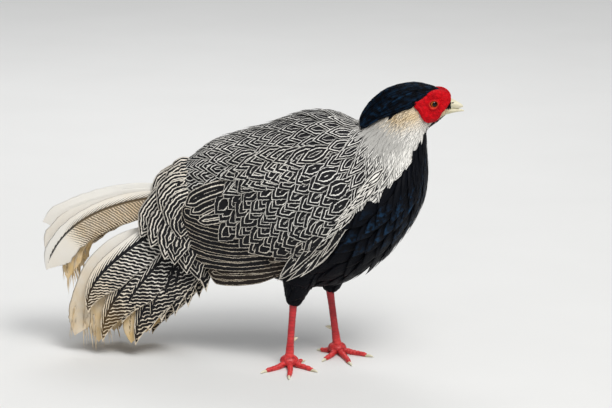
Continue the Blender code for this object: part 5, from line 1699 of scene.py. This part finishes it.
def face_red():
    """Bare red skin: blotches, papillae with painted light on their raised tops, a lid with orange in it and
    dark pores.
    """
    shader = Shader("face_red", 0.60, Subsurface_Weight=0.10, Subsurface_Scale=0.003, Specular_IOR_Level=0.10,
                    Subsurface_Radius=(1.0, 0.10, 0.08))
    blotch = shader.spread(shader.noise(240.0), 0.34, 0.66)
    deep = shader.mix(blotch, (0.26, 0.000, 0.003), (0.56, 0.001, 0.006))
    # Painted light: a brighter red on the raised papillae
    lit = shader.mix(shader.times(shader.mark("papilla_light"), 0.55, True), deep, (0.84, 0.004, 0.012))
    lid = shader.mix(shader.times(shader.mark("lid"), 0.50, True), lit, (0.62, 0.11, 0.050))
    pores = shader.texture("TexVoronoi", "Distance", Scale=1500.0)
    shader.colour(shader.mix(shader.spread(pores, 0.35, 0.75, 0.0, 0.45), lid, (0.30, 0.002, 0.006)))
    shader.bump(pores, -0.55, 0.0006)
    return shader.material


def eye_glass():
    """Wet eyes: a black pupil, an orange iris with fine rays and a dark rim."""
    shader = Shader("eye_glass", 0.30, Coat_Weight=0.6, Coat_Roughness=0.01, Specular_IOR_Level=0.0)
    pole = shader.mark("pole")
    reach = shader.plus(pole, shader.times(shader.minus(shader.noise(900.0, 2.0), 0.5), 0.025))
    iris = shader.mix(shader.spread(reach, 0.19, 0.28), (0.34, 0.080, 0.010), (0.62, 0.19, 0.025))
    iris = shader.mix(shader.times(shader.mark("around"), 0.30), iris, (0.16, 0.032, 0.008))
    with_rim = shader.mix(shader.spread(pole, 0.285, 0.315), iris, (0.020, 0.006, 0.004))
    shader.colour(shader.mix(shader.spread(pole, 0.196, 0.210), (0.001, 0.001, 0.001), with_rim))
    return shader.material


def bill_horn():
    """Cloudy, worn horn: pale at the tips, dull at the edges and dark in the nostrils."""
    shader = Shader("bill_horn", 0.42, Coat_Weight=0.15, Coat_Roughness=0.35)
    cloud = shader.spread(shader.noise(190.0), 0.3, 0.7)
    base = shader.mix(cloud, (0.54, 0.52, 0.34), (0.68, 0.65, 0.46))
    ivory = shader.mix(shader.spread(shader.mark("tip"), 0.15, 0.9), base, (0.74, 0.70, 0.53))
    grain = shader.noise(520.0)
    worn = shader.mix(shader.spread(grain, 0.50, 0.80, 0.0, 0.35), ivory, (0.30, 0.27, 0.17))
    edged = shader.mix(shader.times(shader.mark("edge"), 0.45), worn, (0.34, 0.28, 0.16))
    shader.colour(shader.mix(shader.spread(shader.mark("pit"), 0.35, 0.75), edged, (0.030, 0.024, 0.016)))
    shader.rough(shader.spread(grain, 0.2, 0.8, 0.34, 0.54))
    shader.bump(grain, 0.12, 0.0004)
    return shader.material


def leg_red():
    """Scaly red skin, brighter towards the toes, with dark grooves and painted pale pink highlights."""
    shader = Shader("leg_red", 0.46, Coat_Weight=0.08, Coat_Roughness=0.4)
    blotch = shader.spread(shader.noise(110.0), 0.30, 0.72)
    upper = shader.mix(blotch, (0.38, 0.008, 0.014), (0.58, 0.020, 0.028))
    lower = shader.mix(blotch, (0.56, 0.022, 0.026), (0.74, 0.048, 0.046))
    skin = shader.mix(shader.spread(shader.mark("high"), 0.012, 0.050), lower, upper)
    fine = shader.noise(800.0, 2.0)
    # Pale pink spots: painted highlights on the scales
    pink_highlighted = shader.mix(shader.spread(fine, 0.58, 0.80, 0.0, 0.30), skin, (0.72, 0.30, 0.24))
    shader.colour(shader.mix(shader.times(shader.mark("groove"), 0.70), pink_highlighted, (0.16, 0.006, 0.008)))
    shader.rough(shader.spread(fine, 0.2, 0.8, 0.38, 0.58))
    shader.bump(fine, 0.18, 0.0004)
    return shader.material


def floor_paper():
    shader = Shader("floor_paper", 0.85)
    shader.colour(shader.mix(shader.noise(5.0), (0.72, 0.72, 0.71), (0.76, 0.76, 0.75)))
    return shader.material


# The whole bird


def main():
    pale, dark = pale_plumage(), dark_plumage()
    red, glass, horn, legs = face_red(), eye_glass(), bill_horn(), leg_red()

    skin = make_skin(down_skin())
    mesh = skin.data
    places = np.empty(len(mesh.vertices) * 3, np.float32)
    mesh.vertices.foreach_get("co", places)
    places = places.reshape(-1, 3).astype(float)
    mesh.calc_loop_triangles()
    triangles = np.empty(len(mesh.loop_triangles) * 3, np.int32)
    mesh.loop_triangles.foreach_get("vertices", triangles)
    ground = Ground(places, triangles.reshape(-1, 3))
    beds = [WingBed(side, ground) for _, side in SIDES]

    make_body_plumage(ground, beds, pale, dark)
    for bed, (name, side) in zip(beds, SIDES):
        make_wing_plumage(ground, bed, name, pale)
        make_tail_plumage(side, name, pale)
    make_thigh_plumage(ground, dark)
    make_crest(ground, dark)
    make_faces(ground, red)
    make_eyes(glass)
    make_bill(horn)
    for name, leg in LEGS.items():
        make_leg(name, leg, legs, horn)

    under = mesh.attributes.new("under", "FLOAT", "POINT")
    forehead = (places[:, 0] > 0.150) & (places[:, 2] > 0.330)
    black = np.maximum(ramp(under_side(places), -0.001, 0.003), forehead)
    under.data.foreach_set("value", black.astype(np.float32))
    mesh.vertices.foreach_set("co", to_frame(places).astype(np.float32).ravel())
    mesh.update()
    dress(skin, ["torso", "neck", "head", "thigh_right", "thigh_left"])


FLOOR_REACH = 40.0


def make_floor(material):
    """A plain pale floor that reaches far past every view."""
    edges = (-FLOOR_REACH, FLOOR_REACH)
    points = np.array([(x, y, 0.0) for x in edges for y in edges])
    add_object("floor", points, np.array([(0, 2, 3, 1)]), material, body_frame=False)


# Camera and light

RIGHT = np.array([0.9781, 0.2079, 0.0])
AHEAD = np.array([-0.2026, 0.9531, -0.2250])
UPWARD = np.array([-0.0468, 0.2200, 0.9744])
# What the camera looks at, along right, up and ahead, and how far off and how wide its view is there
AIM = RIGHT * -0.005 + UPWARD * 0.19625 + AHEAD * -0.05 + SHIFT
CAMERA_DISTANCE = 3.8
FRAME_WIDTH = 0.765
SENSOR = 36.0
BIRD_MIDDLE = Vector((0.0, 0.0, 0.18))


def place_looking(name, data, place, way):
    """Puts a camera or a lamp in the scene."""
    obj = bpy.data.objects.new(name, data)
    bpy.context.scene.collection.objects.link(obj)
    obj.location = place
    obj.rotation_euler = Vector(way).to_track_quat("-Z", "Y").to_euler()
    return obj


def make_camera():
    camera = bpy.data.cameras.new("camera")
    camera.sensor_width = SENSOR
    camera.lens = SENSOR * CAMERA_DISTANCE / FRAME_WIDTH
    camera.clip_end = 20.0
    bpy.context.scene.camera = place_looking("camera", camera, AIM - AHEAD * CAMERA_DISTANCE, AHEAD)


def make_lights():
    """Soft studio light: a big panel above and in front, one behind, a wide sky lamp and a pale surround."""
    bpy.context.scene.view_settings.view_transform = "Standard"
    panels = (
        ("key", (1.2, -1.6, 2.5), 1.1, 46.0, (1.0, 0.985, 0.955)),
        ("back", (-0.6, 1.7, 1.9), 1.2, 16.0, (1.0, 1.0, 1.0)),
    )
    for name, place, size, power, colour in panels:
        lamp = bpy.data.lights.new(name, "AREA")
        lamp.size = size
        lamp.energy = power
        lamp.color = colour
        place_looking(name, lamp, place, BIRD_MIDDLE - Vector(place))
    sky = bpy.data.lights.new("sky", "SUN")
    sky.energy = 1.5
    sky.angle = math.radians(40)
    place_looking("sky", sky, (0.0, 0.0, 0.0), (-0.35, 0.45, -1.0))
    world = bpy.data.worlds.new("studio")
    bpy.context.scene.world = world
    world.use_nodes = True
    surround = world.node_tree.nodes["Background"].inputs
    surround["Color"].default_value = (0.95, 0.97, 1.0, 1.0)
    surround["Strength"].default_value = 0.27


main()
make_floor(floor_paper())
make_camera()
make_lights()
